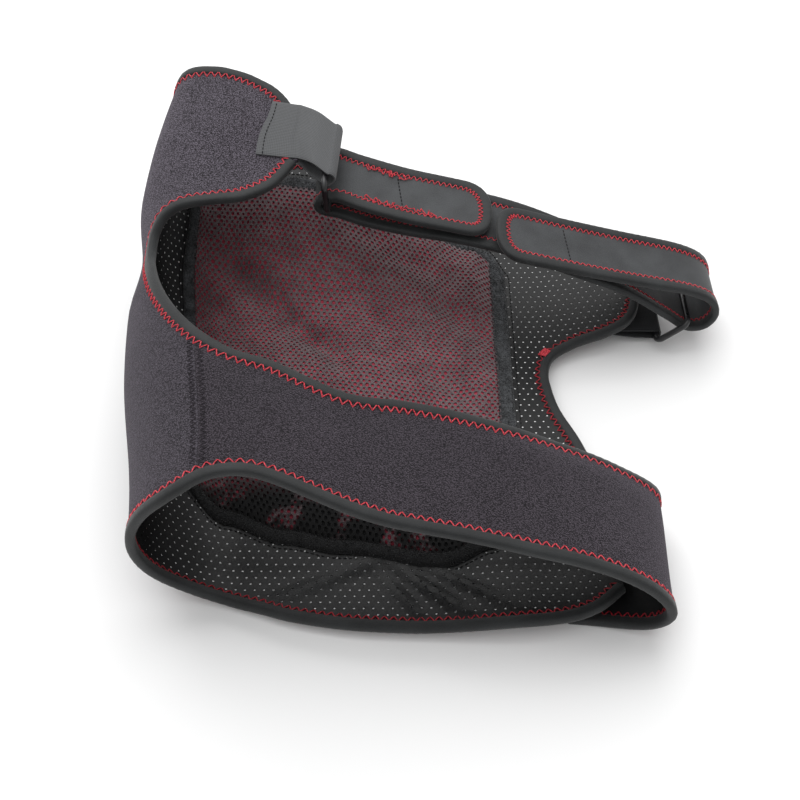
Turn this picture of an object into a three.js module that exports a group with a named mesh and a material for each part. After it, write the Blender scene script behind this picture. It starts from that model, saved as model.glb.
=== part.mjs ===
// Wrap brace lying on its back panel: a neoprene body with a flap and a wing, a wide wrap band
// closed round it as a loop, a bulging mesh pocket, and a strap held by two plastic rings.
import * as THREE from 'three';

// Cloth and tape sizes, mm
const CLOTH = 2.6;
const TAPE = 0.7;
const TAPE_GAP = 0.5;
const TAPE_REACH = 5;
const STRAP_CLOTH = 2.2;
const STRAP_REACH = 5.2;
const STRAP_GAP = 0.6;
const GAP = 0.3;
const WEBBING = 1.4;

// Where the drawing frame sits in the shared frame, mm
const CENTRE = new THREE.Vector3(18.27, 32.61, 0);

// Floor panel: flat in the middle, lifted at the rims
const FLAT_MID = CLOTH / 2;
const LIP = { from: -88, to: -128, lift: 6 };
const FAR_LIFT = { from: 56, to: 195, lift: 47 };
const FAR_LEVEL = { from: 60, to: -60, lift: 1 };
const FAR_RIGHT_LIFT = 6;
const RISE = { from: 5, to: 66, lift: 6.6 };
const WING_LIFT = { from: 76, to: 146, lift: 8 };

// The wrapped section is five lengths: floor, left bend, top, right turn, tail
const BEND_SWEEP = Math.PI + 0.2;
const MIDDLE_X = 14;
const SHOULDER_X = 84;
const TURN_HANDLE = 61;
const TURN_GROW = { from: -125, to: -60, lift: 3.2 };
const TURN_SLOPE = -0.35;
const TAIL_MID = CLOTH / 2 + TAPE_GAP + TAPE;
const TAIL_END_X = 66;
const SEAM = { near: 0.862, far: 0.9 };
const WINDOW_TIP = 0.672;
const FLAP_END = 1.23;

// The left wall is pinched beside the window; the band's far edge curls down near the shoulder
const DENT = { y: 77, half: 42, depth: 5.2 };
const CURL = { on: { from: 1.6, to: 2, lift: 1 }, off: { from: 2.15, to: 2.55, lift: 1 }, run: 18, drop: 5 };

// One row per cross-section along the loop axis, mm
const SECTIONS = [
  { y: -130, left: -124, bend: 50, box: 1, crest: 97, middle: 74, shoulder: 59 },
  { y: -75, left: -130.5, bend: 49, box: 1, crest: 98, middle: 74, shoulder: 59 },
  { y: -10, left: -143, bend: 48, box: 1, crest: 98, middle: 75, shoulder: 59 },
  { y: 50, left: -149, bend: 47, box: 0.95, crest: 96, middle: 84, shoulder: 70 },
  { y: 105, left: -151, bend: 42, box: 0.85, crest: 97, middle: 84, shoulder: 76 },
  { y: 150, left: -144.5, bend: 33, box: 0.75, crest: 109, middle: 90, shoulder: 80 },
  { y: 195, left: -134, bend: 25, box: 0.68, crest: 119.5, middle: 98, shoulder: 86 },
];

// Right outline of the floor panel: near corner, waist notch, wing
const RIGHT_EDGE = [
  { y: -109, x: 110 }, { y: -85, x: 112 }, { y: -50, x: 110 }, { y: -10, x: 101 }, { y: 15, x: 91 },
  { y: 32, x: 86.5 }, { y: 44, x: 85.5 }, { y: 54, x: 90 }, { y: 62, x: 104 }, { y: 67, x: 121 },
  { y: 74, x: 134 }, { y: 86, x: 141 }, { y: 112, x: 144 }, { y: 136, x: 142 }, { y: 148, x: 135 },
];

// Edges of the two cloth strips, as y against the station around the section
const NEAR_EDGE = [
  { q: -1, y: -107 }, { q: -0.94, y: -117.5 }, { q: -0.86, y: -123.3 }, { q: -0.72, y: -126.3 }, { q: -0.5, y: -126 },
  { q: -0.28, y: -124 }, { q: -0.12, y: -118.8 }, { q: -0.02, y: -112.5 }, { q: 0.09, y: -107 }, { q: 0.2, y: -105 },
  { q: 0.35, y: -106.6 }, { q: 0.55, y: -108.6 }, { q: 0.72, y: -109 }, { q: 0.8, y: -106.5 }, { q: 0.86, y: -102.6 },
  { q: 0.92, y: -100.2 }, { q: 1, y: -99.2 }, { q: 1.07, y: -101 }, { q: 1.18, y: -106.4 }, { q: 1.29, y: -111.4 },
  { q: 1.4, y: -114.2 }, { q: 1.5, y: -114.8 }, { q: 1.62, y: -115.8 }, { q: 1.75, y: -118.4 }, { q: 1.87, y: -121 },
  { q: 2, y: -122.5 }, { q: 2.2, y: -125.2 }, { q: 2.4, y: -127.3 }, { q: 2.7, y: -125.5 }, { q: 3, y: -117.5 },
  { q: 4, y: -110 },
];
const BAND_TOP = [
  { q: 0.672, y: 69 }, { q: 0.7, y: 57.5 }, { q: 0.739, y: 45.6 }, { q: 0.79, y: 26 }, { q: 0.86, y: 4 },
  { q: 0.93, y: -12 }, { q: 1, y: -21.5 }, { q: 1.12, y: -29 }, { q: 1.3, y: -35.5 }, { q: 1.6, y: -41.2 },
  { q: 1.8, y: -45.8 }, { q: 2, y: -51 }, { q: 2.2, y: -55 }, { q: 2.5, y: -56.5 }, { q: 3, y: -56.5 },
  { q: 4, y: -55 },
];
const FLAP_LOW = [
  { q: 0.672, y: 69 }, { q: 0.702, y: 80.5 }, { q: 0.765, y: 87.5 }, { q: 0.85, y: 90.9 }, { q: 0.95, y: 93 },
  { q: 1.05, y: 98 }, { q: 1.1, y: 103.5 }, { q: 1.145, y: 110.5 }, { q: 1.18, y: 118.5 }, { q: 1.21, y: 126 },
  { q: 1.23, y: 130 },
];
const FAR_EDGE = [
  { q: -1, y: 148 }, { q: -0.94, y: 162 }, { q: -0.84, y: 172 }, { q: -0.65, y: 182 }, { q: -0.4, y: 189 },
  { q: 0, y: 192 }, { q: 0.5, y: 191.5 }, { q: 0.9, y: 189.3 }, { q: 1, y: 188 }, { q: 1.06, y: 186 },
  { q: 1.1, y: 183 }, { q: 1.145, y: 178.5 }, { q: 1.18, y: 171.5 }, { q: 1.21, y: 161.5 }, { q: 1.23, y: 156 },
];
const MID_LINE = { right: 44, left: 69 };

// Mesh pocket outline on the floor panel: y of its foot and head against the run to the left of x = 0
const POCKET = {
  right: -65, left: 134, tape: 9.5, tapeThick: 1.8, mesh: 1.2, bulge: 15, seat: 0.8, rise: 0.7,
};
const POCKET_FOOT = [
  { a: -65, y: -52 }, { a: -59.5, y: -66 }, { a: -49, y: -78 }, { a: -24, y: -87 }, { a: 31, y: -78 },
  { a: 60, y: -72 }, { a: 92, y: -60 }, { a: 114, y: -42 }, { a: 134, y: -16 },
];
const POCKET_HEAD = [
  { a: -65, y: 126 }, { a: -57.5, y: 143 }, { a: -44, y: 155 }, { a: -10, y: 167 }, { a: 40, y: 175 },
  { a: 90, y: 180 }, { a: 134, y: 180 },
];
// Creases pressed into the mesh: a line from one end to the other, its depth and width
const CREASES = [
  { a0: 104, y0: 118, a1: 34, y1: 52, depth: 5, width: 9 },
  { a0: -30, y0: 96, a1: -52, y1: 72, depth: 6, width: 10 },
  { a0: 30, y0: 150, a1: -30, y1: 118, depth: 4, width: 12 },
];

// Strap strip, from its left tail over both rings to its right tail: one row per station, tilt in degrees
const STRAP_WIDTH = 38.2;
const STRAP_ROUND = 16;
const STRAP = [
  { x: 52, y: 111.1, z: 73.5, tilt: 7 }, { x: 30, y: 115.1, z: 76, tilt: 8 },
  { x: 4, y: 120.6, z: 78.5, tilt: 9 }, { x: -22, y: 129.6, z: 80.6, tilt: 10 },
  { x: -36, y: 136.1, z: 81.4, tilt: 10 }, { x: -44.8, y: 137.1, z: 79.8, tilt: 10 },
  { x: -48.4, y: 137.1, z: 75.5, tilt: 10 }, { x: -44.8, y: 137.1, z: 71.2, tilt: 10 },
  { x: -36, y: 136.1, z: 69.6, tilt: 10 }, { x: -20, y: 129.1, z: 69, tilt: 10 },
  { x: 4, y: 120.6, z: 69, tilt: 9 }, { x: 30, y: 113.6, z: 68.6, tilt: 8 },
  { x: 53, y: 107.6, z: 66.8, tilt: 7 }, { x: 76, y: 101.6, z: 62.6, tilt: 6 },
  { x: 102, y: 96.6, z: 55.5, tilt: 5 }, { x: 131, y: 94.6, z: 44, tilt: 3 },
  { x: 157, y: 95.1, z: 24.5, tilt: 0 }, { x: 170, y: 95.6, z: 14.8, tilt: 0 },
  { x: 180.5, y: 95.6, z: 15.6, tilt: 0 }, { x: 185.5, y: 95.6, z: 25, tilt: 0 },
  { x: 181, y: 95.6, z: 36, tilt: 0 }, { x: 165, y: 94.6, z: 45, tilt: 2 }, { x: 131, y: 92.6, z: 55, tilt: 4 },
  { x: 102, y: 92.6, z: 62.5, tilt: 5 }, { x: 76, y: 93.6, z: 69, tilt: 6 }, { x: 56, y: 95.6, z: 73, tilt: 7 },
];

// Rings: rounded oblongs of round bar, long side along the strap width
const RING = { inner: 47, span: 22, bar: 3.6, corner: 4 };
const LEFT_LOW_BAR = new THREE.Vector3(-42, 138.5, 75.5);
const LEFT_HIGH_BAR = new THREE.Vector3(-43, 134.7, 97.2);
const LEFT_TILT = 10;
const LEFT_LOOP = { bar: new THREE.Vector3(-42, 136.5, 96), radius: 4.8 };
const RIGHT_LOW_BAR = new THREE.Vector3(153.2, 97, 7.6);
const RIGHT_HIGH_BAR = new THREE.Vector3(169.5, 97, 22.4);
const WEBBING_WIDTH = 39;
const WEBBING_SEWN = { near: 1.1, far: 1.14, y: 148.5 };

const cloth = (name, color, roughness) => new THREE.MeshStandardMaterial({
  name, color, roughness, metalness: 0,
});
const RUBBER = cloth('loop_fabric', 0x37323b, 0.95);
const BINDING = cloth('binding', 0x2b2c2e, 0.7);
const MESH = cloth('mesh', 0x4a1c22, 0.85);
const TRIM = cloth('plush', 0x1d1b1f, 0.95);
const ELASTIC = cloth('webbing', 0x4b4c4e, 0.8);
const BLACK_ELASTIC = cloth('webbing_black', 0x1e1e20, 0.8);
const STRAP_CLOTHING = cloth('strap_cloth', 0x3a3b3d, 0.75);
const PLASTIC = cloth('plastic', 0x1a1a1c, 0.4);

const clamp01 = (t) => Math.min(1, Math.max(0, t));
const ease = (t) => t * t * (3 - 2 * t);
const ramp = (row, t) => row.lift * ease(clamp01((t - row.from) / (row.to - row.from)));
const mix = (a, b, t) => a + (b - a) * t;
const square = (part, box) => Math.sign(part) * Math.abs(part) ** box;

// Smooth cubic through the rows of a table, one column against another
function through(rows, key, column, t) {
  const last = rows.length - 1;
  const slope = (i) => {
    const low = rows[Math.max(0, i - 1)];
    const high = rows[Math.min(last, i + 1)];
    return (high[column] - low[column]) / (high[key] - low[key]);
  };
  let i = 0;
  while (i < last - 1 && t > rows[i + 1][key]) i += 1;
  const start = rows[i];
  const end = rows[i + 1];
  const run = end[key] - start[key];
  const s = (t - start[key]) / run;
  if (s < 0) return start[column] + slope(0) * (t - start[key]);
  if (s > 1) return end[column] + slope(last) * (t - end[key]);
  const keep = 1 - ease(s);
  const bendIn = s * (1 - s) * (1 - s) * run * slope(i);
  const bendOut = s * s * (s - 1) * run * slope(i + 1);
  return start[column] * keep + end[column] * (1 - keep) + bendIn + bendOut;
}

// Height of the floor panel's middle surface
function floorHeight(x, y) {
  const far = mix(FAR_RIGHT_LIFT / FAR_LIFT.lift, 1, ramp(FAR_LEVEL, x));
  return FLAT_MID + ramp(LIP, y) + far * ramp(FAR_LIFT, y) + ramp(RISE, x) + ramp(WING_LIFT, x);
}

// Depth of the pinch in the left wall: a bell along the loop axis
function dent(y) {
  const t = Math.min(1, Math.abs(y - DENT.y) / DENT.half);
  return DENT.depth * (1 - t * t) ** 2;
}

// Drop of the band's far edge, growing as the square of the way to the edge
function curl(q, y) {
  const way = Math.min(1.3, Math.max(0, (y - through(BAND_TOP, 'q', 'y', q)) / CURL.run + 1));
  return CURL.drop * ramp(CURL.on, q) * (1 - ramp(CURL.off, q)) * way * way;
}

// Point on the middle surface of the wrap; q counts the five lengths round the section,
// y is along the loop axis
function wrapPoint(q, y) {
  const row = (column) => through(SECTIONS, 'y', column, y);
  const bendX = row('left') + row('bend');
  const bend = row('bend') - dent(y);
  if (q <= 0) {
    const x = mix(bendX, through(RIGHT_EDGE, 'y', 'x', y), -q);
    return new THREE.Vector3(x, y, floorHeight(x, y));
  }
  const foot = floorHeight(bendX, y);
  const half = (row('crest') - foot) / 2;
  const box = row('box');
  const turn = Math.min(q, 1) * BEND_SWEEP;
  const sine = Math.sin(turn);
  const cosine = Math.cos(turn);
  const bentX = bendX - bend * square(sine, box);
  const bent = new THREE.Vector3(bentX, y, foot + half * (1 - square(cosine, box)));
  if (q <= 1) return bent;
  const { x: startX, z: startZ } = bent;
  const startRise = half * sine * Math.abs(cosine) ** (box - 1);
  const startSlope = startRise / (-bend * cosine * Math.abs(sine) ** (box - 1));
  const shoulderX = SHOULDER_X;
  const shoulder = row('shoulder');
  if (q <= 2) {
    const x = mix(startX, shoulderX, q - 1);
    const middle = row('middle');
    const midSlope = (shoulder - startZ) / (shoulderX - startX);
    const before = x < MIDDLE_X;
    const low = before ? startX : MIDDLE_X;
    const run = before ? MIDDLE_X - startX : shoulderX - MIDDLE_X;
    const s = (x - low) / run;
    const ends = before ? [startZ, middle, startSlope, midSlope] : [middle, shoulder, midSlope, TURN_SLOPE];
    const lean = s * (1 - s) * (1 - s) * ends[2] + s * s * (s - 1) * ends[3];
    const z = mix(ends[0], ends[1], ease(s)) + run * lean - curl(q, y);
    return new THREE.Vector3(x, y, z);
  }
  if (q <= 3) {
    const s = q - 2;
    const r = 1 - s;
    const reach = TURN_HANDLE + ramp(TURN_GROW, y);
    const x = shoulderX + 3 * r * s * reach;
    const handle = shoulder + TURN_SLOPE * reach;
    const z = r * r * r * shoulder + 3 * r * r * s * handle + (3 * r * s * s + s * s * s) * TAIL_MID;
    return new THREE.Vector3(x, y, z - curl(q, y));
  }
  return new THREE.Vector3(mix(shoulderX, TAIL_END_X, q - 3), y, TAIL_MID);
}

// Station on the section for a run of a mm to the left of x = 0, measured along the cloth
function stationAt(a, y) {
  const bend = through(SECTIONS, 'y', 'bend', y);
  const bendX = through(SECTIONS, 'y', 'left', y) + bend;
  if (-a >= bendX) return -(-a - bendX) / (through(RIGHT_EDGE, 'y', 'x', y) - bendX);
  const half = through(SECTIONS, 'y', 'crest', y) / 2;
  return (a + bendX) / (BEND_SWEEP * Math.sqrt((bend * bend + half * half) / 2));
}

// Point and outward normal of a surface given as a function of two coordinates
function frameAt(surface, u, v, du = 1e-3, dv = 0.05) {
  const p = surface(u, v);
  const along = surface(u + du, v).sub(surface(u - du, v)).divideScalar(2 * du);
  const across = surface(u, v + dv).sub(surface(u, v - dv)).divideScalar(2 * dv);
  const n = along.clone().cross(across).normalize();
  return { p, n, along, across };
}

// Closed solid from points with normals and the quads joining them: two faces, walled at free edges
function solidFromQuads(points, quads, thickness) {
  const count = points.length;
  const position = [];
  [0.5, -0.5].forEach((side) => {
    points.forEach(({ p, n }) => {
      position.push(...p.clone().addScaledVector(n, side * thickness).sub(CENTRE).toArray());
    });
  });
  const index = [];
  const used = new Map();
  const edgeKey = (a, b) => (a < b ? `${a}/${b}` : `${b}/${a}`);
  quads.forEach(([a, b, c, d]) => {
    index.push(a, b, c, a, c, d);
    index.push(count + a, count + c, count + b, count + a, count + d, count + c);
    [[a, b], [b, c], [c, d], [d, a]].forEach(([i, j]) => {
      const key = edgeKey(i, j);
      used.set(key, used.has(key) ? null : [i, j]);
    });
  });
  used.forEach((edge) => {
    if (!edge) return;
    const [i, j] = edge;
    index.push(i, count + i, j, j, count + i, count + j);
  });
  const geometry = new THREE.BufferGeometry();
  geometry.setAttribute('position', new THREE.Float32BufferAttribute(position, 3));
  geometry.setIndex(index);
  return geometry;
}

// Closed solid from a regular net of points with normals
function solidFromGrid(grid, thickness) {
  const wide = grid[0].length;
  const quads = [];
  for (let i = 0; i + 1 < grid.length; i += 1) {
    for (let j = 0; j + 1 < wide; j += 1) {
      quads.push([i * wide + j, (i + 1) * wide + j, (i + 1) * wide + j + 1, i * wide + j + 1]);
    }
  }
  return solidFromQuads(grid.flat(), quads, thickness);
}

// Tube through rings of points; an open tube is capped by pairing the two halves of its end rings
function tube(rings, closed) {
  const size = rings[0].length;
  const position = rings.flat().flatMap((p) => p.clone().sub(CENTRE).toArray());
  const index = [];
  const last = closed ? rings.length : rings.length - 1;
  for (let i = 0; i < last; i += 1) {
    const base = i * size;
    const next = ((i + 1) % rings.length) * size;
    for (let k = 0; k < size; k += 1) {
      const m = (k + 1) % size;
      index.push(base + k, base + m, next + k, next + k, base + m, next + m);
    }
  }
  if (!closed) {
    const end = (rings.length - 1) * size;
    for (let k = 0; k + 1 < size / 2; k += 1) {
      const [a, b, c, d] = [k, k + 1, size - 2 - k, size - 1 - k];
      index.push(a, c, b, a, d, c);
      index.push(end + a, end + b, end + c, end + a, end + c, end + d);
    }
  }
  const geometry = new THREE.BufferGeometry();
  geometry.setAttribute('position', new THREE.Float32BufferAttribute(position, 3));
  geometry.setIndex(index);
  return geometry;
}

// Frame reached by walking over a surface from a station, some mm along a direction
const WALK_MOVES = 4;
function walk(surface, [u, v], direction, distance) {
  let place = [u, v];
  for (let k = 0; k < WALK_MOVES; k += 1) {
    const { n, along, across } = frameAt(surface, ...place);
    const move = direction.clone().addScaledVector(n, -direction.dot(n));
    move.setLength(1).multiplyScalar(distance / WALK_MOVES);
    const uu = along.dot(along);
    const uv = along.dot(across);
    const vv = across.dot(across);
    const det = uu * vv - uv * uv;
    const mu = move.dot(along);
    const mv = move.dot(across);
    place = [place[0] + (mu * vv - mv * uv) / det, place[1] + (mv * uu - mu * uv) / det];
  }
  return frameAt(surface, ...place);
}

// Folded tape over the edge of a sheet: the edge runs through the stations with the cloth on its left side
function bindEdge(surface, stations, closed, thickness, reach, gap) {
  const inner = thickness / 2 + gap;
  const outer = inner + TAPE;
  const rim = gap + TAPE;
  const frames = stations.map(([u, v]) => frameAt(surface, u, v));
  const count = stations.length;
  const rings = frames.map(({ p, n }, i) => {
    const before = frames[closed ? (i + count - 1) % count : Math.max(0, i - 1)].p;
    const after = frames[closed ? (i + 1) % count : Math.min(count - 1, i + 1)].p;
    const out = after.clone().sub(before).cross(n).normalize();
    const inside = walk(surface, stations[i], out, -reach);
    const at = (frame, reachOut, lift) => {
      const flat = frame.p.clone().addScaledVector(out, reachOut);
      return flat.addScaledVector(frame.n, lift);
    };
    const here = { p, n };
    return [
      at(inside, 0, outer), at(here, rim, 0.9 * outer), at(here, rim, -0.9 * outer), at(inside, 0, -outer),
      at(inside, 0, -inner), at(here, gap, -inner), at(here, gap, inner), at(inside, 0, inner),
    ];
  });
  return tube(rings, closed);
}

// Even steps from one value to another, with the count of steps
const steps = (from, to, count) => Array.from({ length: count + 1 }, (_, i) => mix(from, to, i / count));

// Stations shared by the cloth strips and the tape on their edges
const FLOOR_Q = [-1, -0.97, -0.93, -0.87, ...steps(-0.8, -0.08, 10)];
const WALL_Q = steps(0, WINDOW_TIP, 11);
const TIP_Q = [0.679, 0.694, 0.72, 0.76, 0.81];
const FLAP_Q = [0.86, 0.9, 0.95, 1, 1.06, 1.11, 1.145, 1.175, 1.205, FLAP_END];
const TOP_Q = [0.93, 0.965, 1.01, 1.07, 1.17, 1.3, 1.45, 1.6, 1.75, 1.88];
const TURN_Q = steps(2, 3, 13);
const SEAM_GAP = 0.003;
const BAND_Q = [...TOP_Q, ...TURN_Q, 3.5, 4];
const BODY_NEAR_Q = [...FLOOR_Q, ...WALL_Q, ...TIP_Q];
const seamAt = (t) => mix(SEAM.near, SEAM.far, t);
const BODY_FAR_Q = [...FLOOR_Q, ...WALL_Q, ...TIP_Q, ...FLAP_Q];
const NEAR_T = [0, 0.09, 0.2, 0.33, 0.47, 0.61, 0.74, 0.86, 0.94, 1];
const FAR_T = [0, 0.05, 0.1, 0.145, 0.2, 0.28, 0.37, 0.46, 0.56, 0.66, 0.76, 0.85, 0.93, 1];
const BAND_T = [0, 0.12, 0.31, 0.5, 0.69, 0.88, 1];

const midLine = (q) => mix(MID_LINE.left, MID_LINE.right, Math.max(0, -q));
const nearEdge = (q) => through(NEAR_EDGE, 'q', 'y', q);
const nearTop = (q) => (q <= WINDOW_TIP ? midLine(q) : through(BAND_TOP, 'q', 'y', q));
const farFoot = (q) => (q <= WINDOW_TIP ? midLine(q) : through(FLAP_LOW, 'q', 'y', q));
const farEdge = (q) => through(FAR_EDGE, 'q', 'y', q);

// Place on the seam between body and band, a little before or after it
const seamPlace = (t, step) => {
  const q = seamAt(t) + step;
  return [q, mix(nearEdge(q), nearTop(q), t)];
};

// Body: a near strip and a far strip of cloth that share the line up to the tip of the window
function bodySolid() {
  const points = [];
  const quads = [];
  const add = (q, y) => points.push(frameAt(wrapPoint, q, y)) - 1;
  const nearNet = [
    ...BODY_NEAR_Q.map((q) => NEAR_T.map((t) => add(q, mix(nearEdge(q), nearTop(q), t)))),
    NEAR_T.map((t) => seamPlace(t, -SEAM_GAP)).map(([q, y]) => add(q, y)),
  ];
  const farNet = BODY_FAR_Q.map((q, i) => FAR_T.map((t, j) => {
    if (j === 0 && q <= WINDOW_TIP + 1e-9) return nearNet[i][NEAR_T.length - 1];
    return add(q, mix(farFoot(q), farEdge(q), t));
  }));
  [nearNet, farNet].forEach((net) => {
    for (let i = 0; i + 1 < net.length; i += 1) {
      for (let j = 0; j + 1 < net[i].length; j += 1) {
        quads.push([net[i][j], net[i + 1][j], net[i + 1][j + 1], net[i][j + 1]]);
      }
    }
  });
  return solidFromQuads(points, quads, CLOTH);
}

function bandSolid() {
  const seam = BAND_T.map((t) => frameAt(wrapPoint, ...seamPlace(t, SEAM_GAP)));
  const grid = BAND_Q.map((q) => BAND_T.map((t) => frameAt(wrapPoint, q, mix(nearEdge(q), nearTop(q), t))));
  return solidFromGrid([seam, ...grid], CLOTH);
}

// Paths of the three lengths of binding round the body and band
const BOUND_FLAP_Q = FLAP_Q.filter((q) => q < 1.18);
const UPPER_Q = [...TIP_Q, SEAM.far - SEAM_GAP, SEAM.far + SEAM_GAP, ...BAND_Q];
const windowPath = [
  ...UPPER_Q.slice().reverse().map((q) => [q, nearTop(q)]),
  [WINDOW_TIP, MID_LINE.left],
  ...[...TIP_Q, ...BOUND_FLAP_Q].map((q) => [q, farFoot(q)]),
];
const cornerSteps = (t) => [-1, t];
const rimPath = [
  ...[...FLOOR_Q, ...WALL_Q, ...TIP_Q, ...BOUND_FLAP_Q].reverse().map((q) => [q, farEdge(q)]),
  ...FAR_T.slice(1, -1).reverse().map((t) => cornerSteps(mix(MID_LINE.right, farEdge(-1), t))),
  ...NEAR_T.slice(2).reverse().map((t) => cornerSteps(mix(nearEdge(-1), MID_LINE.right, t))),
];
const HEM_Q = [...FLOOR_Q, ...WALL_Q, ...TIP_Q, SEAM.near - SEAM_GAP, SEAM.near + SEAM_GAP, ...BAND_Q];
const hemPath = HEM_Q.map((q) => [q, nearEdge(q)]);

// Height of the mesh over the lining: a pillow with pressed creases
function pocketHeight(a, y, s, t) {
  const pillow = POCKET.bulge * Math.sin(Math.PI * s) ** 0.7 * Math.sin(Math.PI * t ** 0.85) ** 0.7;
  const dents = CREASES.reduce((sum, crease) => {
    const run = new THREE.Vector2(crease.a1 - crease.a0, crease.y1 - crease.y0);
    const from = new THREE.Vector2(a - crease.a0, y - crease.y0);
    const along = clamp01(from.dot(run) / run.lengthSq());
    const off = from.sub(run.multiplyScalar(along)).length() / crease.width;
    return sum + crease.depth * Math.exp(-off * off);
  }, 0);
  const fade = clamp01(pillow / 6);
  return pillow - dents * fade;
}

// Point on the lining side of the wrap at a run a and place y, lifted off the cloth
function insidePoint(a, y, lift) {
  const frame = frameAt(wrapPoint, stationAt(a, y), y);
  return frame.p.addScaledVector(frame.n, -lift);
}

const POCKET_S = 14;
const POCKET_T = 15;
function pocketNet(inset) {
  const foot = (a) => through(POCKET_FOOT, 'a', 'y', a);
  const head = (a) => through(POCKET_HEAD, 'a', 'y', a);
  return (s, t) => {
    const a = mix(POCKET.right + inset, POCKET.left - inset, s);
    const y = mix(foot(a) + inset, head(a) - inset, t);
    return { a, y };
  };
}

// Mesh panel inside its tape frame
function meshSolid() {
  const net = pocketNet(POCKET.tape + 5 * GAP);
  const surface = (s, t) => {
    const { a, y } = net(s, t);
    const base = CLOTH / 2 + POCKET.seat + POCKET.mesh / 2 + POCKET.rise;
    return insidePoint(a, y, base + pocketHeight(a, y, clamp01(s), clamp01(t)));
  };
  const sides = steps(0.002, 0.998, POCKET_S);
  const ends = steps(0.002, 0.998, POCKET_T);
  const grid = sides.map((s) => ends.map((t) => frameAt(surface, s, t, 1e-3, 1e-3)));
  return solidFromGrid(grid, POCKET.mesh);
}

// Tape frame round the mesh, lying on the lining
function trimSolid() {
  const outer = pocketNet(0);
  const inner = pocketNet(POCKET.tape);
  const lift = CLOTH / 2 + POCKET.seat + POCKET.tapeThick / 2;
  const round = [
    ...steps(0, 1, POCKET_S).slice(0, -1).map((s) => [s, 0]),
    ...steps(0, 1, POCKET_T).slice(0, -1).map((t) => [1, t]),
    ...steps(1, 0, POCKET_S).slice(0, -1).map((s) => [s, 1]),
    ...steps(1, 0, POCKET_T).slice(0, -1).map((t) => [0, t]),
  ];
  const place = (net, s, t) => {
    const { a, y } = net(s, t);
    const frame = frameAt(wrapPoint, stationAt(a, y), y);
    return { p: frame.p.addScaledVector(frame.n, -lift), n: frame.n };
  };
  const points = round.flatMap(([s, t]) => [place(outer, s, t), place(inner, s, t)]);
  const quads = round.map((_, i) => {
    const next = (i + 1) % round.length;
    return [2 * i + 1, 2 * i, 2 * next, 2 * next + 1];
  });
  return solidFromQuads(points, quads, POCKET.tapeThick);
}

// Smooth path through the strap rows, with the width direction tilted off level
const strapRow = STRAP.map((row, k) => ({ ...row, k }));
function strapPoint(k, w) {
  const at = (column) => through(strapRow, 'k', column, k);
  const tilt = THREE.MathUtils.degToRad(at('tilt'));
  return new THREE.Vector3(at('x'), at('y') + w * Math.cos(tilt), at('z') + w * Math.sin(tilt));
}

// Half width of the strap at a station, rounded off at both tails
const STRAP_LAST = STRAP.length - 1;
const STRAP_TIP_RUN = 22;
function strapHalf(k) {
  const fromEnd = Math.min(k, STRAP_LAST - k) * STRAP_TIP_RUN;
  const short = clamp01(1 - fromEnd / STRAP_ROUND);
  return (STRAP_WIDTH / 2) * (1 - short ** 2.5) ** (1 / 2.5);
}
const TIP_K = [0.03, 0.1, 0.24, 0.46, 0.75];
const RUN_K = [
  1.4, 2.2, 3, 3.6, ...steps(4, 8, 10), 8.6, 9.4, 10.3, 11.2, 12, 13, 14, 15, 15.7, 16.3,
  ...steps(17, 20, 7), 20.6, 21.4, 22.2, 23, 23.7,
];
const STRAP_K = [...TIP_K, ...RUN_K, ...TIP_K.map((k) => STRAP_LAST - k).reverse()];
function strapSolid() {
  const across = steps(-1, 1, 4);
  const grid = STRAP_K.map((k) => across.map((w) => frameAt(strapPoint, k, w * strapHalf(k))));
  return solidFromGrid(grid, STRAP_CLOTH);
}
const strapPath = [
  ...STRAP_K.map((k) => [k, -strapHalf(k)]),
  ...STRAP_K.slice().reverse().map((k) => [k, strapHalf(k)]),
];

// Ring of round bar through the centres of its two long bars
function ringSolid(low, high, tilt) {
  const angle = THREE.MathUtils.degToRad(tilt);
  const long = new THREE.Vector3(0, Math.cos(angle), Math.sin(angle));
  const short = high.clone().sub(low);
  short.addScaledVector(long, -short.dot(long)).normalize();
  const centre = low.clone().add(high).multiplyScalar(0.5);
  const normal = short.clone().cross(long);
  const halfLong = (RING.inner + RING.bar) / 2;
  const halfShort = RING.span / 2;
  const rings = [];
  [[1, 1], [-1, 1], [-1, -1], [1, -1]].forEach(([sl, ss], corner) => {
    steps(0, 1, 3).forEach((t) => {
      const turn = (corner + t) * (Math.PI / 2);
      const out = long.clone().multiplyScalar(Math.cos(turn)).addScaledVector(short, Math.sin(turn));
      const mid = centre.clone().addScaledVector(long, sl * (halfLong - RING.corner));
      mid.addScaledVector(short, ss * (halfShort - RING.corner)).addScaledVector(out, RING.corner);
      rings.push(steps(0, 1, 8).slice(0, -1).map((r) => {
        const round = r * 2 * Math.PI;
        const side = mid.clone().addScaledVector(out, (RING.bar / 2) * Math.cos(round));
        return side.addScaledVector(normal, (RING.bar / 2) * Math.sin(round));
      }));
    });
  });
  return tube(rings, true);
}

// Strip of webbing through rows of points, a row across the strip for each place along it
function ribbon(rows) {
  const grid = rows.map((row, i) => {
    const before = rows[Math.max(0, i - 1)];
    const after = rows[Math.min(rows.length - 1, i + 1)];
    const wide = row[row.length - 1].clone().sub(row[0]);
    return row.map((p, j) => ({ p, n: after[j].clone().sub(before[j]).cross(wide).normalize() }));
  });
  return solidFromGrid(grid, WEBBING);
}

// Rows of points that go round a bar from its upper side to its lower side
const BAR_WRAP = RING.bar / 2 + GAP + WEBBING / 2;
const BAR_STEPS = 7;
const ACROSS = steps(-WEBBING_WIDTH / 2, WEBBING_WIDTH / 2, 3);
function roundBar(bar, radius, out, up, wide, start) {
  return steps(start, -start, BAR_STEPS).map((turn) => ACROSS.map((w) => bar.clone()
    .addScaledVector(out, radius * Math.cos(turn))
    .addScaledVector(up, radius * Math.sin(turn))
    .addScaledVector(wide, w)));
}

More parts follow.
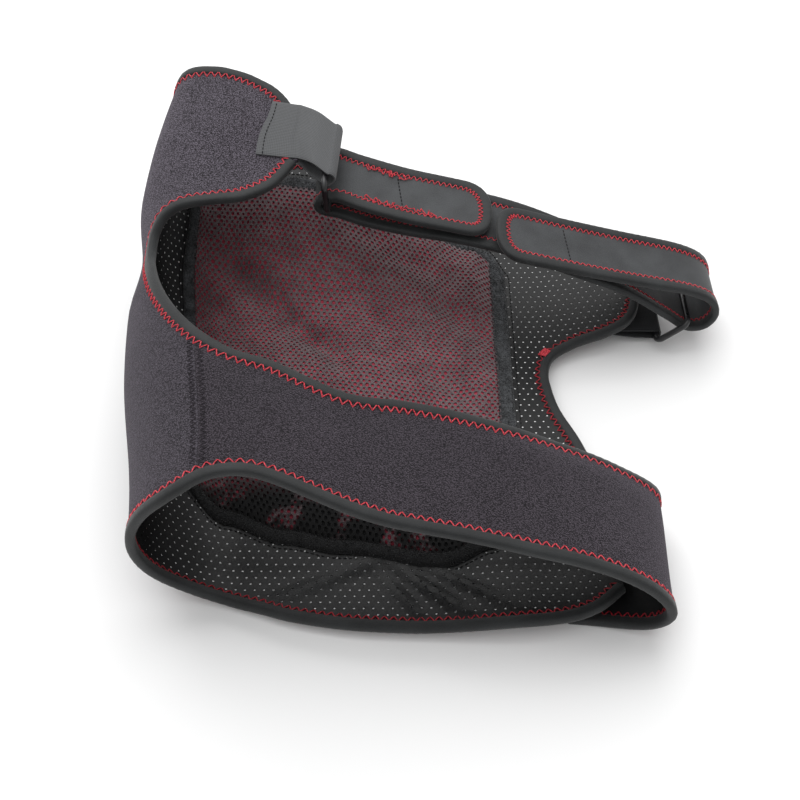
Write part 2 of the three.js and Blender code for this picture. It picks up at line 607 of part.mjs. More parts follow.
// Webbing on the end of the flap, round the upper bar of the left ring
function leftWebbing() {
  const angle = THREE.MathUtils.degToRad(LEFT_TILT);
  const wide = new THREE.Vector3(0, Math.cos(angle), Math.sin(angle));
  const out = new THREE.Vector3(1, 0, 0);
  const up = out.clone().cross(wide);
  const lift = CLOTH / 2 + GAP + WEBBING / 2;
  const sewn = steps(0, 1, 4);
  const layer = (run, side) => ACROSS.map((w) => {
    const start = mix(WEBBING_SEWN.near, WEBBING_SEWN.far, w / WEBBING_WIDTH + 0.5);
    const q = mix(start, FLAP_END + 0.004, run);
    const frame = frameAt(wrapPoint, q, WEBBING_SEWN.y + w * Math.cos(angle));
    return frame.p.addScaledVector(frame.n, side * lift);
  });
  return ribbon([
    ...sewn.map((run) => layer(run, 1)),
    ...roundBar(LEFT_LOOP.bar, LEFT_LOOP.radius, out, up, wide, 1.5),
    ...sewn.slice().reverse().map((run) => layer(run, -1)),
  ]);
}

// Webbing under the wing, round the lower bar of the right ring: sewn places, then its two free layers
const RIGHT_SEWN = [96, 105, 114];
const RIGHT_FREE = [
  { x: 126, upper: 10.5, lower: 8 },
  { x: 140, upper: 10.6, lower: 5.6 },
];
const SEWN_GAP = 0.4;
function rightWebbing() {
  const out = new THREE.Vector3(1, 0, 0);
  const up = new THREE.Vector3(0, 0, 1);
  const wide = new THREE.Vector3(0, 1, 0);
  const free = (x, z) => ACROSS.map((w) => new THREE.Vector3(x, RIGHT_LOW_BAR.y + w, z));
  const sewn = (x, level) => ACROSS.map((w) => {
    const y = RIGHT_LOW_BAR.y + w;
    const frame = frameAt(wrapPoint, stationAt(-x, y), y);
    const lift = CLOTH / 2 + SEWN_GAP + WEBBING / 2 + level * (WEBBING + SEWN_GAP);
    return frame.p.addScaledVector(frame.n, lift);
  });
  return ribbon([
    ...RIGHT_SEWN.map((x) => sewn(x, 0)),
    ...RIGHT_FREE.map((row) => free(row.x, row.upper)),
    ...roundBar(RIGHT_LOW_BAR, BAR_WRAP, out, up, wide, 1.4),
    ...RIGHT_FREE.slice().reverse().map((row) => free(row.x, row.lower)),
    ...RIGHT_SEWN.slice().reverse().map((x) => sewn(x, 1)),
  ]);
}

const group = new THREE.Group();
const put = (name, geometry, material) => {
  geometry.computeVertexNormals();
  const mesh = new THREE.Mesh(geometry, material);
  mesh.name = name;
  group.add(mesh);
};
put('body', bodySolid(), RUBBER);
put('wrap_band', bandSolid(), RUBBER);
put('binding_hem', bindEdge(wrapPoint, hemPath, false, CLOTH, TAPE_REACH, TAPE_GAP), BINDING);
put('binding_rim', bindEdge(wrapPoint, rimPath, false, CLOTH, TAPE_REACH, TAPE_GAP), BINDING);
put('binding_window', bindEdge(wrapPoint, windowPath, false, CLOTH, TAPE_REACH, TAPE_GAP), BINDING);
put('mesh_pocket', meshSolid(), MESH);
put('pocket_trim', trimSolid(), TRIM);
put('webbing_left', leftWebbing(), ELASTIC);
put('webbing_right', rightWebbing(), BLACK_ELASTIC);
put('ring_left', ringSolid(LEFT_LOW_BAR, LEFT_HIGH_BAR, LEFT_TILT), PLASTIC);
put('ring_right', ringSolid(RIGHT_LOW_BAR, RIGHT_HIGH_BAR, 0), PLASTIC);
put('strap', strapSolid(), STRAP_CLOTHING);
put('strap_binding', bindEdge(strapPoint, strapPath, true, STRAP_CLOTH, STRAP_REACH, STRAP_GAP), BINDING);

export default group;
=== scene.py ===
"""Looks of the wrap brace: cloth, lining, net, tape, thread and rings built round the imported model."""

import logging
import math
from dataclasses import dataclass, field
from enum import Enum
from typing import Any, Callable, Sequence

import bpy
import numpy as np
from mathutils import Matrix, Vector
from mathutils.geometry import delaunay_2d_cdt


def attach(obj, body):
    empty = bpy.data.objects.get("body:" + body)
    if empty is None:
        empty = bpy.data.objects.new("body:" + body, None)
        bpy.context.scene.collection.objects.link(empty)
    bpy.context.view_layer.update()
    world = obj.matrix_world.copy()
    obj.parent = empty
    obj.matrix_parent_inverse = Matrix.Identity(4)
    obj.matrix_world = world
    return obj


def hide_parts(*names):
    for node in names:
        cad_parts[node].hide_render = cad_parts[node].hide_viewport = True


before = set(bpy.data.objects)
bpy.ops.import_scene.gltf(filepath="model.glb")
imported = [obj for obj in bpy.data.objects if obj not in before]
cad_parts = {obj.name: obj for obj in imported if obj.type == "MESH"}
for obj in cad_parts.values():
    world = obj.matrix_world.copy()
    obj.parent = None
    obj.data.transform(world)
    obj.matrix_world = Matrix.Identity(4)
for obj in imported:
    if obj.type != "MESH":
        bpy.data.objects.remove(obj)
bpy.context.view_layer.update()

Array = np.ndarray
Colour = tuple[float, float, float]
LOG = logging.getLogger("brace")
MM = 0.001
CENTRE = np.array([18.27, 32.61, 0.0])


def srgb(red: float, green: float, blue: float) -> Colour:
    """Gives a screen colour of 0 to 255 a channel as linear light.

    Args:
        red: Red channel.
        green: Green channel.
        blue: Blue channel.

    Returns:
        The linear colour.
    """
    return tuple(((c / 255 + 0.055) / 1.055) ** 2.4 if c > 10 else c / 3295 for c in (red, green, blue))


def mix(a: Any, b: Any, t: Any) -> Any:
    """Goes from a to b as t goes from 0 to 1."""
    return a + (b - a) * t


def ease(t: Array) -> Array:
    """Smooth step of t: three t squared less two t cubed."""
    return t * t * (3 - 2 * t)


def unit(v: Array) -> Array:
    """Vectors along the last axis, each made one long."""
    return v / np.maximum(np.linalg.norm(v, axis=-1, keepdims=True), 1e-12)


def signed_power(v: Array, power: Array) -> Array:
    """Size of v to a power, with the sign of v."""
    return np.sign(v) * np.abs(v) ** power


def pairs(a: Any, b: Any) -> Array:
    """Two sets of numbers as columns, each spread to the shape of the other."""
    return np.stack(np.broadcast_arrays(a, b), axis=-1)


def lengths(line: Array) -> Array:
    """Length along a line of points, at each point."""
    return np.concatenate([[0], np.cumsum(np.linalg.norm(np.diff(line, axis=0), axis=1))])


def read(rows: Array, knots: Array, s: Array) -> Array:
    """Rows given at knots, read at other places by straight lines between them."""
    return np.stack([np.interp(s, knots, column) for column in rows.T], axis=-1)


@dataclass(frozen=True)
class Curve:
    """Smooth cubic through points given as keys and values, straight beyond its ends."""

    keys: tuple[float, ...]
    values: tuple[float, ...]

    def __call__(self, t: float | Array) -> Array:
        """Value at t: a cubic on each span, its end slopes taken across the neighbouring points.

        Args:
            t: Places to read, in the units of the keys.

        Returns:
            One value for each place.
        """
        k, v = np.array(self.keys), np.array(self.values)
        slope = np.empty_like(v)
        slope[1:-1] = (v[2:] - v[:-2]) / (k[2:] - k[:-2])
        slope[[0, -1]] = (v[1] - v[0]) / (k[1] - k[0]), (v[-1] - v[-2]) / (k[-1] - k[-2])
        t = np.asarray(t, float)
        i = np.clip(np.searchsorted(k, t) - 1, 0, len(k) - 2)
        run = k[i + 1] - k[i]
        u = (t - k[i]) / run
        c = np.clip(u, 0, 1)
        bends = c * (1 - c) ** 2 * slope[i] + c * c * (c - 1) * slope[i + 1]
        beyond = np.minimum(u, 0) * slope[0] + np.maximum(u - 1, 0) * slope[-1]
        return mix(v[i], v[i + 1], ease(c)) + run * (bends + beyond)


@dataclass(frozen=True)
class Ramp:
    """Lift that grows smoothly from one place to another."""

    start: float
    end: float
    lift: float

    def __call__(self, t: Array) -> Array:
        """Lift at t: zero before the start, full after the end, a smooth step between."""
        return self.lift * ease(np.clip((t - self.start) / (self.end - self.start), 0, 1))


class Surface:
    """Middle surface of a cloth, as a function of two parameters."""

    def point(self, u: Array, v: Array) -> Array:
        """Place on the surface, mm."""
        raise NotImplementedError

    def frame(self, u: Array, v: Array, du: float = 1e-3, dv: float = 0.05) -> tuple[Array, Array, Array, Array]:
        """Place, outward normal and the two slopes, by central differences.

        Args:
            u: First parameter.
            v: Second parameter.
            du: Step of the first parameter.
            dv: Step of the second parameter.

        Returns:
            Point, normal, slope along u and slope along v.
        """
        u, v = np.broadcast_arrays(np.asarray(u, float), np.asarray(v, float))
        along = (self.point(u + du, v) - self.point(u - du, v)) / (2 * du)
        across = (self.point(u, v + dv) - self.point(u, v - dv)) / (2 * dv)
        return self.point(u, v), unit(np.cross(along, across)), along, across


BAND_TOP = Curve(
    (0.682, 0.6842, 0.691, 0.7, 0.739, 0.79, 0.86, 0.93, 1, 1.12, 1.2, 1.3, 1.38, 1.48, 1.6, 1.8, 2, 2.2, 2.5, 3, 4),
    (69, 65, 61, 57.2, 43.8, 22.5, -0.5, -16, -24.5, -29.5, -35.5, -42, -43, -41.6, -42, -45.8, -51, -55, -56.5,
     -56.5, -55),
)


@dataclass(frozen=True)
class Wrap(Surface):
    """Wrapped cloth: floor panel, left bend, top, right turn and tail, counted by q from -1 to 4."""

    cloth: float = 2.6
    lip: Ramp = Ramp(-88, -128, 6)
    far_lift: Ramp = Ramp(56, 195, 47)
    far_level: Ramp = Ramp(60, -60, 1)
    far_right_share: float = 6 / 47
    rise: Ramp = Ramp(5, 66, 6.6)
    wing_lift: Ramp = Ramp(76, 146, 8)
    sweep: float = math.pi + 0.2
    middle_x: float = 14.0
    shoulder_x: float = 84.0
    turn_handle: float = 61.0
    turn_grow: Ramp = Ramp(-125, -60, 3.2)
    curl_on: Ramp = Ramp(1.6, 2, 1)
    curl_off: Ramp = Ramp(2.15, 2.55, 1)
    curl_run: float = 18.0
    curl_drop: float = 5.0
    dent_y: float = 77.0
    dent_half: float = 42.0
    dent_depth: float = 5.2
    turn_slope: float = -0.35
    tail_mid: float = 2.5
    tail_end: float = 66.0
    section_y: tuple[float, ...] = (-130, -75, -10, 50, 105, 150, 195)
    left: tuple[float, ...] = (-124, -130.5, -143, -149, -151, -144.5, -134)
    bend: tuple[float, ...] = (50, 49, 48, 47, 42, 33, 25)
    box: tuple[float, ...] = (1, 1, 1, 0.95, 0.85, 0.75, 0.68)
    crest: tuple[float, ...] = (97, 98, 98, 96, 97, 109, 119.5)
    middle: tuple[float, ...] = (74, 74, 75, 84, 84, 90, 98)
    shoulder: tuple[float, ...] = (59, 59, 59, 70, 76, 80, 86)
    right_edge: Curve = Curve(
        (-109, -85, -50, -10, 15, 32, 45, 57.5, 66, 71, 78, 89, 112, 136, 148),
        (110, 112, 109, 98.5, 89, 85.5, 85, 90, 104, 121, 134, 141, 144, 142, 135),
    )

    def row(self, values: tuple[float, ...], y: Array) -> Array:
        """Column of the section table at y."""
        return Curve(self.section_y, values)(y)

    def floor(self, x: Array, y: Array) -> Array:
        """Height of the floor panel's middle: flat, with smooth lifts at the lip, far edge and wing."""
        far = mix(self.far_right_share, 1, self.far_level(x))
        return self.cloth / 2 + self.lip(y) + far * self.far_lift(y) + self.rise(x) + self.wing_lift(x)

    def dent(self, y: Array) -> Array:
        """Pinch of the left wall beside the window: a bell, one less a square and squared, mm."""
        t = np.clip((y - self.dent_y) / self.dent_half, -1, 1)
        return self.dent_depth * (1 - t * t) ** 2

    def curl(self, q: Array, y: Array) -> Array:
        """Drop of the band's far edge near the shoulder: it grows as the square of the way to the edge, mm."""
        way = np.clip((y - BAND_TOP(q) + self.curl_run) / self.curl_run, 0, 1.3)
        return self.curl_drop * self.curl_on(q) * (1 - self.curl_off(q)) * way * way

    def point(self, u: Array, v: Array) -> Array:
        """Place on the wrap.

        The floor runs straight from the right edge to the bend, the bend is a superellipse, the top is two
        cubics, the turn is a Bezier hook and the tail is straight under the floor.

        Args:
            u: Station round the section.
            v: Place along the loop axis, mm.

        Returns:
            Points, mm.
        """
        q, y = np.broadcast_arrays(np.asarray(u, float), np.asarray(v, float))
        bend, box, shoulder = self.row(self.bend, y), self.row(self.box, y), self.row(self.shoulder, y)
        bend_x = self.row(self.left, y) + bend
        bend = bend - self.dent(y)
        floor_x = mix(bend_x, self.right_edge(y), -np.minimum(q, 0))
        foot = self.floor(bend_x, y)
        half = (self.row(self.crest, y) - foot) / 2
        turn = np.clip(q, 0, 1) * self.sweep
        bent_x = bend_x - bend * signed_power(np.sin(turn), box)
        bent_z = foot + half * (1 - signed_power(np.cos(turn), box))
        sine, cosine = math.sin(self.sweep), math.cos(self.sweep)
        start_x = bend_x - bend * signed_power(np.full_like(q, sine), box)
        start_z = foot + half * (1 - signed_power(np.full_like(q, cosine), box))
        start_slope = half * sine * abs(cosine) ** (box - 1) / (-bend * cosine * abs(sine) ** (box - 1))
        top_x = mix(start_x, self.shoulder_x, np.clip(q - 1, 0, 1))
        middle = self.row(self.middle, y)
        mid_slope = (shoulder - start_z) / (self.shoulder_x - start_x)
        before = top_x < self.middle_x
        low = np.where(before, start_x, self.middle_x)
        run = np.where(before, self.middle_x - start_x, self.shoulder_x - self.middle_x)
        s = (top_x - low) / run
        lean_in = np.where(before, start_slope, mid_slope)
        lean_out = np.where(before, mid_slope, self.turn_slope)
        top_z = mix(np.where(before, start_z, middle), np.where(before, middle, shoulder), ease(s))
        top_z = top_z + run * (s * (1 - s) ** 2 * lean_in + s * s * (s - 1) * lean_out)
        t = np.clip(q - 2, 0, 1)
        r = 1 - t
        reach = self.turn_handle + self.turn_grow(y)
        turn_x = self.shoulder_x + 3 * r * t * reach
        handle = shoulder + self.turn_slope * reach
        turn_z = r**3 * shoulder + 3 * r * r * t * handle + (3 * r * t * t + t**3) * self.tail_mid
        tail_x = mix(self.shoulder_x, self.tail_end, q - 3)
        zones = [q <= 0, q <= 1, q <= 2, q <= 3]
        x = np.select(zones, [floor_x, bent_x, top_x, turn_x], tail_x)
        curl = self.curl(q, y)
        z = np.select(zones, [self.floor(floor_x, y), bent_z, top_z - curl, turn_z - curl], self.tail_mid)
        return np.stack([x, y, z], axis=-1)

    def per_station(self, y: Array) -> Array:
        """Run of cloth in one unit of q on the bend: its sweep times a mean radius, mm."""
        bend, half = self.row(self.bend, y), self.row(self.crest, y) / 2
        return self.sweep * np.sqrt((bend * bend + half * half) / 2)

    def station(self, run: Array, y: Array) -> Array:
        """Station for a run of cloth to the left of x = 0.

        Args:
            run: Run along the cloth, mm.
            y: Place along the loop axis, mm.

        Returns:
            The station q.
        """
        bend_x = self.row(self.left, y) + self.row(self.bend, y)
        on_floor = (run + bend_x) / (self.right_edge(y) - bend_x)
        return np.where(-run >= bend_x, on_floor, (run + bend_x) / self.per_station(y))

    def run(self, q: Array, y: Array) -> Array:
        """Run of cloth at a station: the inverse of station()."""
        bend_x = self.row(self.left, y) + self.row(self.bend, y)
        on_floor = -mix(bend_x, self.right_edge(y), -np.minimum(q, 0))
        return np.where(q <= 0, on_floor, q * self.per_station(y) - bend_x)


WRAP = Wrap()


@dataclass(frozen=True)
class Cut:
    """Edges of the two cloth strips of the wrap, as y against the station q."""

    window_tip: float = 0.682
    flap_end: float = 1.23
    rim_end: float = 1.203
    foot_end: float = 1.216
    seam_near: float = 0.862
    seam_far: float = 0.9
    mid_right: float = 44.0
    mid_left: float = 69.0
    near_edge: Curve = Curve(
        (-1, -0.94, -0.86, -0.72, -0.5, -0.28, -0.12, -0.02, 0.09, 0.2, 0.35, 0.55, 0.72, 0.8, 0.86, 0.92, 1, 1.07,
         1.18, 1.29, 1.4, 1.5, 1.62, 1.75, 1.87, 2, 2.2, 2.4, 2.7, 3, 4),
        (-107, -117.5, -123.3, -126.3, -126, -124, -118.8, -112.5, -107, -105, -106.6, -108.6, -109, -106.5, -102.6,
         -100.2, -99.2, -101, -106.4, -111.4, -114.2, -114.8, -115.8, -118.4, -121, -122.5, -125.2, -127.3, -125.5,
         -117.5, -110),
    )
    band_top: Curve = BAND_TOP
    flap_low: Curve = Curve(
        (0.682, 0.6842, 0.691, 0.702, 0.765, 0.85, 0.95, 1.05, 1.1, 1.145, 1.18, 1.21, 1.23),
        (69, 73, 77, 80.5, 87.5, 90.9, 93, 98, 103.5, 110.5, 118.5, 126, 130),
    )
    far_edge: Curve = Curve(
        (-1, -0.94, -0.84, -0.65, -0.4, 0, 0.5, 0.9, 1, 1.06, 1.1, 1.145, 1.18, 1.21, 1.23),
        (148, 162, 172, 182, 189, 192, 191.5, 189.3, 188, 186, 183, 178.5, 171.5, 161.5, 156),
    )

    def mid_line(self, q: Array) -> Array:
        """Line that both strips share."""
        return mix(self.mid_left, self.mid_right, np.maximum(0, -q))

    def near_top(self, q: Array) -> Array:
        """Upper edge of the near strip."""
        return np.where(q <= self.window_tip, self.mid_line(q), self.band_top(q))

    def far_foot(self, q: Array) -> Array:
        """Lower edge of the far strip."""
        return np.where(q <= self.window_tip, self.mid_line(q), self.flap_low(q))

    def seam(self, t: Array, step: float = 0.0) -> Array:
        """Places on the seam between body and band, t from the hem to the window."""
        q = mix(self.seam_near, self.seam_far, t) + step
        return pairs(q, mix(self.near_edge(q), self.near_top(q), t))


CUT = Cut()


def strip_places(q: Array, low: Callable[[Array], Array], high: Callable[[Array], Array], steps: int) -> Array:
    """Places of a strip of the wrap: stations by even steps between two edges.

    Args:
        q: Stations of the strip.
        low: Lower edge.
        high: Upper edge.
        steps: Places across the strip.

    Returns:
        The places, as stations by steps by 2.
    """
    return pairs(q[:, None], mix(low(q)[:, None], high(q)[:, None], np.linspace(0, 1, steps)[None]))


@dataclass(frozen=True)
class StrapLine(Surface):
    """Strap strip, from its left tail over both rings to its right tail, counted by k; w runs across."""

    width: float = 38.2
    round: float = 16.0
    tip_run: float = 22.0
    tip_power: float = 2.5
    cloth: float = 2.2
    x: tuple[float, ...] = (52, 30, 4, -22, -36, -44.8, -48.4, -44.8, -36, -20, 4, 30, 53, 76, 102, 131, 157, 170,
                            180.5, 185.5, 181, 165, 131, 102, 76, 56)
    y: tuple[float, ...] = (111.1, 115.1, 120.6, 129.6, 136.1, 137.1, 137.1, 137.1, 136.1, 129.1, 120.9, 115.1, 110.1,
                            104.9, 98.6, 94.9, 95.1, 95.6, 95.6, 95.6, 95.6, 94.6, 92.6, 92.6, 93.6, 95.6)
    z: tuple[float, ...] = (73.5, 76, 78.5, 80.6, 81.4, 79.8, 75.5, 71.2, 69.6, 69, 69, 68.6, 66.8, 62.6, 55.5, 44,
                            24.5, 14.8, 15.6, 25, 36, 45, 55, 62.5, 69, 73)
    tilt: tuple[float, ...] = (7, 8, 9, 10, 10, 10, 10, 10, 10, 10, 9, 9, 10, 9, 6, 3, 0, 0, 0, 0, 0, 2, 4, 5, 6, 7)

    @property
    def last(self) -> int:
        """Station of the right tail."""
        return len(self.x) - 1

    def column(self, values: tuple[float, ...], k: Array) -> Array:
        """Column of the table at station k."""
        return Curve(tuple(range(len(values))), values)(k)

    def point(self, u: Array, v: Array) -> Array:
        """Place on the strap: a smooth line through the rows, with a straight tilted line across it."""
        tilt = np.radians(self.column(self.tilt, u))
        y = self.column(self.y, u) + v * np.cos(tilt)
        return np.stack([self.column(self.x, u), y, self.column(self.z, u) + v * np.sin(tilt)], axis=-1)

    def half(self, k: Array) -> Array:
        """Half width at a station, rounded off at both tails by a superellipse."""
        short = np.clip(1 - np.minimum(k, self.last - k) * self.tip_run / self.round, 0, 1)
        return self.width / 2 * (1 - short**self.tip_power) ** (1 / self.tip_power)


STRAP = StrapLine()


class EdgePath:
    """Edge of a cloth as even steps, with the cloth on its left side."""

    def __init__(self, surface: Surface, places: Array, closed: bool = False, step: float = 2.2) -> None:
        """Spaces the places evenly and finds the frame at each.

        Args:
            surface: Cloth that the edge belongs to.
            places: Parameters of the surface along the edge, two columns.
            closed: Whether the end joins the start.
            step: Wanted step, mm.
        """
        self.surface, self.closed = surface, closed
        line = np.vstack([places, places[:1]]) if closed else places
        length = lengths(surface.point(*line.T))
        self.length = float(length[-1])
        count = max(4, int(round(self.length / step)))
        self.s = np.linspace(0, self.length, count, endpoint=not closed)
        self.places = read(line, length, self.s)
        self.p, self.n, _, _ = surface.frame(*self.places.T)
        self.out = unit(np.cross(self.smooth(self.slope(self.p)), self.n))

    def slope(self, rows: Array) -> Array:
        """Change from step to step."""
        if self.closed:
            return np.roll(rows, -1, axis=0) - np.roll(rows, 1, axis=0)
        return np.gradient(rows, axis=0)

    def smooth(self, rows: Array, passes: int = 3) -> Array:
        """Running mean over neighbours."""
        for _ in range(passes):
            pad = np.pad(rows, ((1, 1), (0, 0)), mode="wrap" if self.closed else "edge")
            rows = (pad[:-2] + 2 * pad[1:-1] + pad[2:]) / 4
        return rows

    def inward(self, reach: float, moves: int = 4) -> tuple[Array, Array]:
        """Frames reached by walking over the cloth away from the edge.

        Args:
            reach: Distance from the edge, mm.
            moves: Straight moves of the walk.

        Returns:
            Points and normals.
        """
        places = self.places.copy()
        for _ in range(moves):
            _, n, along, across = self.surface.frame(*places.T)
            into = -self.out + n * np.sum(self.out * n, axis=1, keepdims=True)
            move = unit(into) * reach / moves
            uu, uv, vv = (np.sum(a * b, axis=1) for a, b in ((along, along), (along, across), (across, across)))
            mu, mv = np.sum(move * along, axis=1), np.sum(move * across, axis=1)
            det = uu * vv - uv * uv
            places = places + pairs((mu * vv - mv * uv) / det, (mv * uu - mu * uv) / det)
        p, n, _, _ = self.surface.frame(*places.T)
        return p, n

    def at(self, rows: Array, s: Array) -> Array:
        """Rows of the path read at other lengths along it."""
        if self.closed:
            return read(np.vstack([rows, rows[:1]]), np.append(self.s, self.length), s)
        return read(rows, self.s, s)


@dataclass
class MeshData:
    """Points in mm, faces as arrays of three or four corners, and a finish number for each face array."""

    points: Array
    faces: list[Array]
    finishes: list[int] = field(default_factory=list)
    uv: Array | None = None

    def joined(self, others: Sequence["MeshData"]) -> "MeshData":
        """This mesh and others as one."""
        parts = [self, *others]
        offsets = np.cumsum([0] + [len(part.points) for part in parts[:-1]])
        faces = [f + o for part, o in zip(parts, offsets) for f in part.faces]
        marks = [m for part in parts for m in (part.finishes or [0] * len(part.faces))]
        return MeshData(np.vstack([part.points for part in parts]), faces, marks)


def grid_faces(index: Array) -> Array:
    """Four-cornered faces of a net of point numbers."""
    return np.stack([index[:-1, :-1], index[1:, :-1], index[1:, 1:], index[:-1, 1:]], axis=-1).reshape(-1, 4)


def grid_index(rows: int, columns: int) -> Array:
    """Numbers of a regular net of points."""
    return np.arange(rows * columns).reshape(rows, columns)


def free_edges(faces: Sequence[Array], count: int) -> Array:
    """Edges that only one face uses, in that face's direction."""
    edges = np.vstack([pairs(f, np.roll(f, -1, axis=1)).reshape(-1, 2) for f in faces])
    keys = edges.min(axis=1) * count + edges.max(axis=1)
    _, first, uses = np.unique(keys, return_index=True, return_counts=True)
    return edges[first[uses == 1]]


def thicken(
    points: Array, normals: Array, faces: Sequence[Array], outer: Any, inner: Any, uv: Array | None = None
) -> MeshData:
    """Closed sheet: the points lifted along their normals to two sides, with a wall on each free edge.

    Args:
        points: Points of the middle, mm.
        normals: Outward normals.
        faces: Faces seen from the outward side.
        outer: Lift of the outward side, one or one a point.
        inner: Lift of the other side.
        uv: Flat places of the points.

    Returns:
        The mesh, with finish 0 outside and 1 inside.
    """
    count = len(points)
    lift = [np.broadcast_to(np.asarray(side, float), (count,))[:, None] for side in (outer, inner)]
    both = np.vstack([points + normals * lift[0], points + normals * lift[1]])
    i, j = free_edges(faces, count).T
    walls = np.stack([j, i, i + count, j + count], axis=-1)
    backs = [f[:, ::-1] + count for f in faces]
    marks = [0] * len(faces) + [1] * len(backs) + [0]
    return MeshData(both, [*faces, *backs, walls], marks, None if uv is None else np.vstack([uv, uv]))


def tubes(points: Array, ups: Array, radius: float, sides: int = 5, closed: bool = False) -> MeshData:
    """Round strands: a circle carried along each line of points.

    Args:
        points: Lines of points, as strands by steps by 3, mm.
        ups: A direction beside each line, same shape.
        radius: Radius of the strands, mm.
        sides: Corners of the circle.
        closed: Whether each strand joins its start.

    Returns:
        The strands as one mesh with capped ends.
    """
    strands, steps = points.shape[:2]
    ahead = np.roll(points, -1, 1) - np.roll(points, 1, 1) if closed else np.gradient(points, axis=1)
    ahead = unit(ahead)
    side = unit(np.cross(ups, ahead))
    up = np.cross(ahead, side)
    angle = np.arange(sides) * 2 * np.pi / sides
    ring = side[:, :, None] * np.cos(angle)[:, None] + up[:, :, None] * np.sin(angle)[:, None]
    vertices = (points[:, :, None] + radius * ring).reshape(-1, 3)
    index = np.arange(strands * steps * sides).reshape(strands, steps, sides)
    around = np.roll(index, -1, axis=2)
    if closed:
        nexts, next_around = np.roll(index, -1, axis=1), np.roll(around, -1, axis=1)
        quads = np.stack([index, around, next_around, nexts], axis=-1).reshape(-1, 4)
        return MeshData(vertices, [quads])
    quads = np.stack([index[:, :-1], around[:, :-1], around[:, 1:], index[:, 1:]], axis=-1).reshape(-1, 4)
    fan = np.stack([np.zeros(sides - 2, int), np.arange(1, sides - 1), np.arange(2, sides)], axis=-1)
    starts, ends = index[:, 0][:, fan[:, ::-1]].reshape(-1, 3), index[:, -1][:, fan].reshape(-1, 3)
    return MeshData(vertices, [quads, starts, ends])


def profile_along(rings: Array, closed: bool) -> MeshData:
    """Profile carried along a path: rings of points joined in order, with the ends closed.

    Args:
        rings: Profile points at each step, as steps by corners by 3, mm.
        closed: Whether the end joins the start.

    Returns:
        The mesh.
    """
    steps, corners = rings.shape[:2]
    index = grid_index(steps, corners)
    around = np.roll(index, -1, axis=1)
    ahead, ahead_around = np.roll(index, -1, axis=0), np.roll(around, -1, axis=0)
    quads = np.stack([index, around, ahead_around, ahead], axis=-1)
    faces = [quads.reshape(-1, 4) if closed else quads[:-1].reshape(-1, 4)]
    if not closed:
        front = np.arange(corners // 2 - 1)
        cap = np.stack([front, corners - 1 - front, corners - 2 - front, front + 1], axis=-1)
        faces += [cap, cap[:, ::-1] + index[-1, 0]]
    return MeshData(rings.reshape(-1, 3), faces)


class Value:
    """A number in a shader tree: arithmetic on it adds Math nodes."""

    def __init__(self, tree: "Tree", socket: bpy.types.NodeSocket) -> None:
        """Wraps an output socket of a tree."""
        self.tree, self.socket = tree, socket

    def _with(self, operation: str, *terms: Any) -> "Value":
        """Result of one Math node."""
        node = self.tree.node("ShaderNodeMath", {"operation": operation}, dict(enumerate(terms)))
        return Value(self.tree, node.outputs[0])

    def __add__(self, other: Any) -> "Value":
        """Sum."""
        return self._with("ADD", self, other)

    def __rsub__(self, other: Any) -> "Value":
        """Another number less this one."""
        return self._with("SUBTRACT", other, self)

    def __mul__(self, other: Any) -> "Value":
        """Product."""
        return self._with("MULTIPLY", self, other)

    def sine(self) -> "Value":
        """Sine."""
        return self._with("SINE", self)

    def over(self, low: float, high: float) -> "Value":
        """Goes smoothly from 0 at low to 1 at high."""
        settings = {"interpolation_type": "SMOOTHSTEP"}
        node = self.tree.node("ShaderNodeMapRange", settings, {"Value": self, "From Min": low, "From Max": high})
        return Value(self.tree, node.outputs[0])


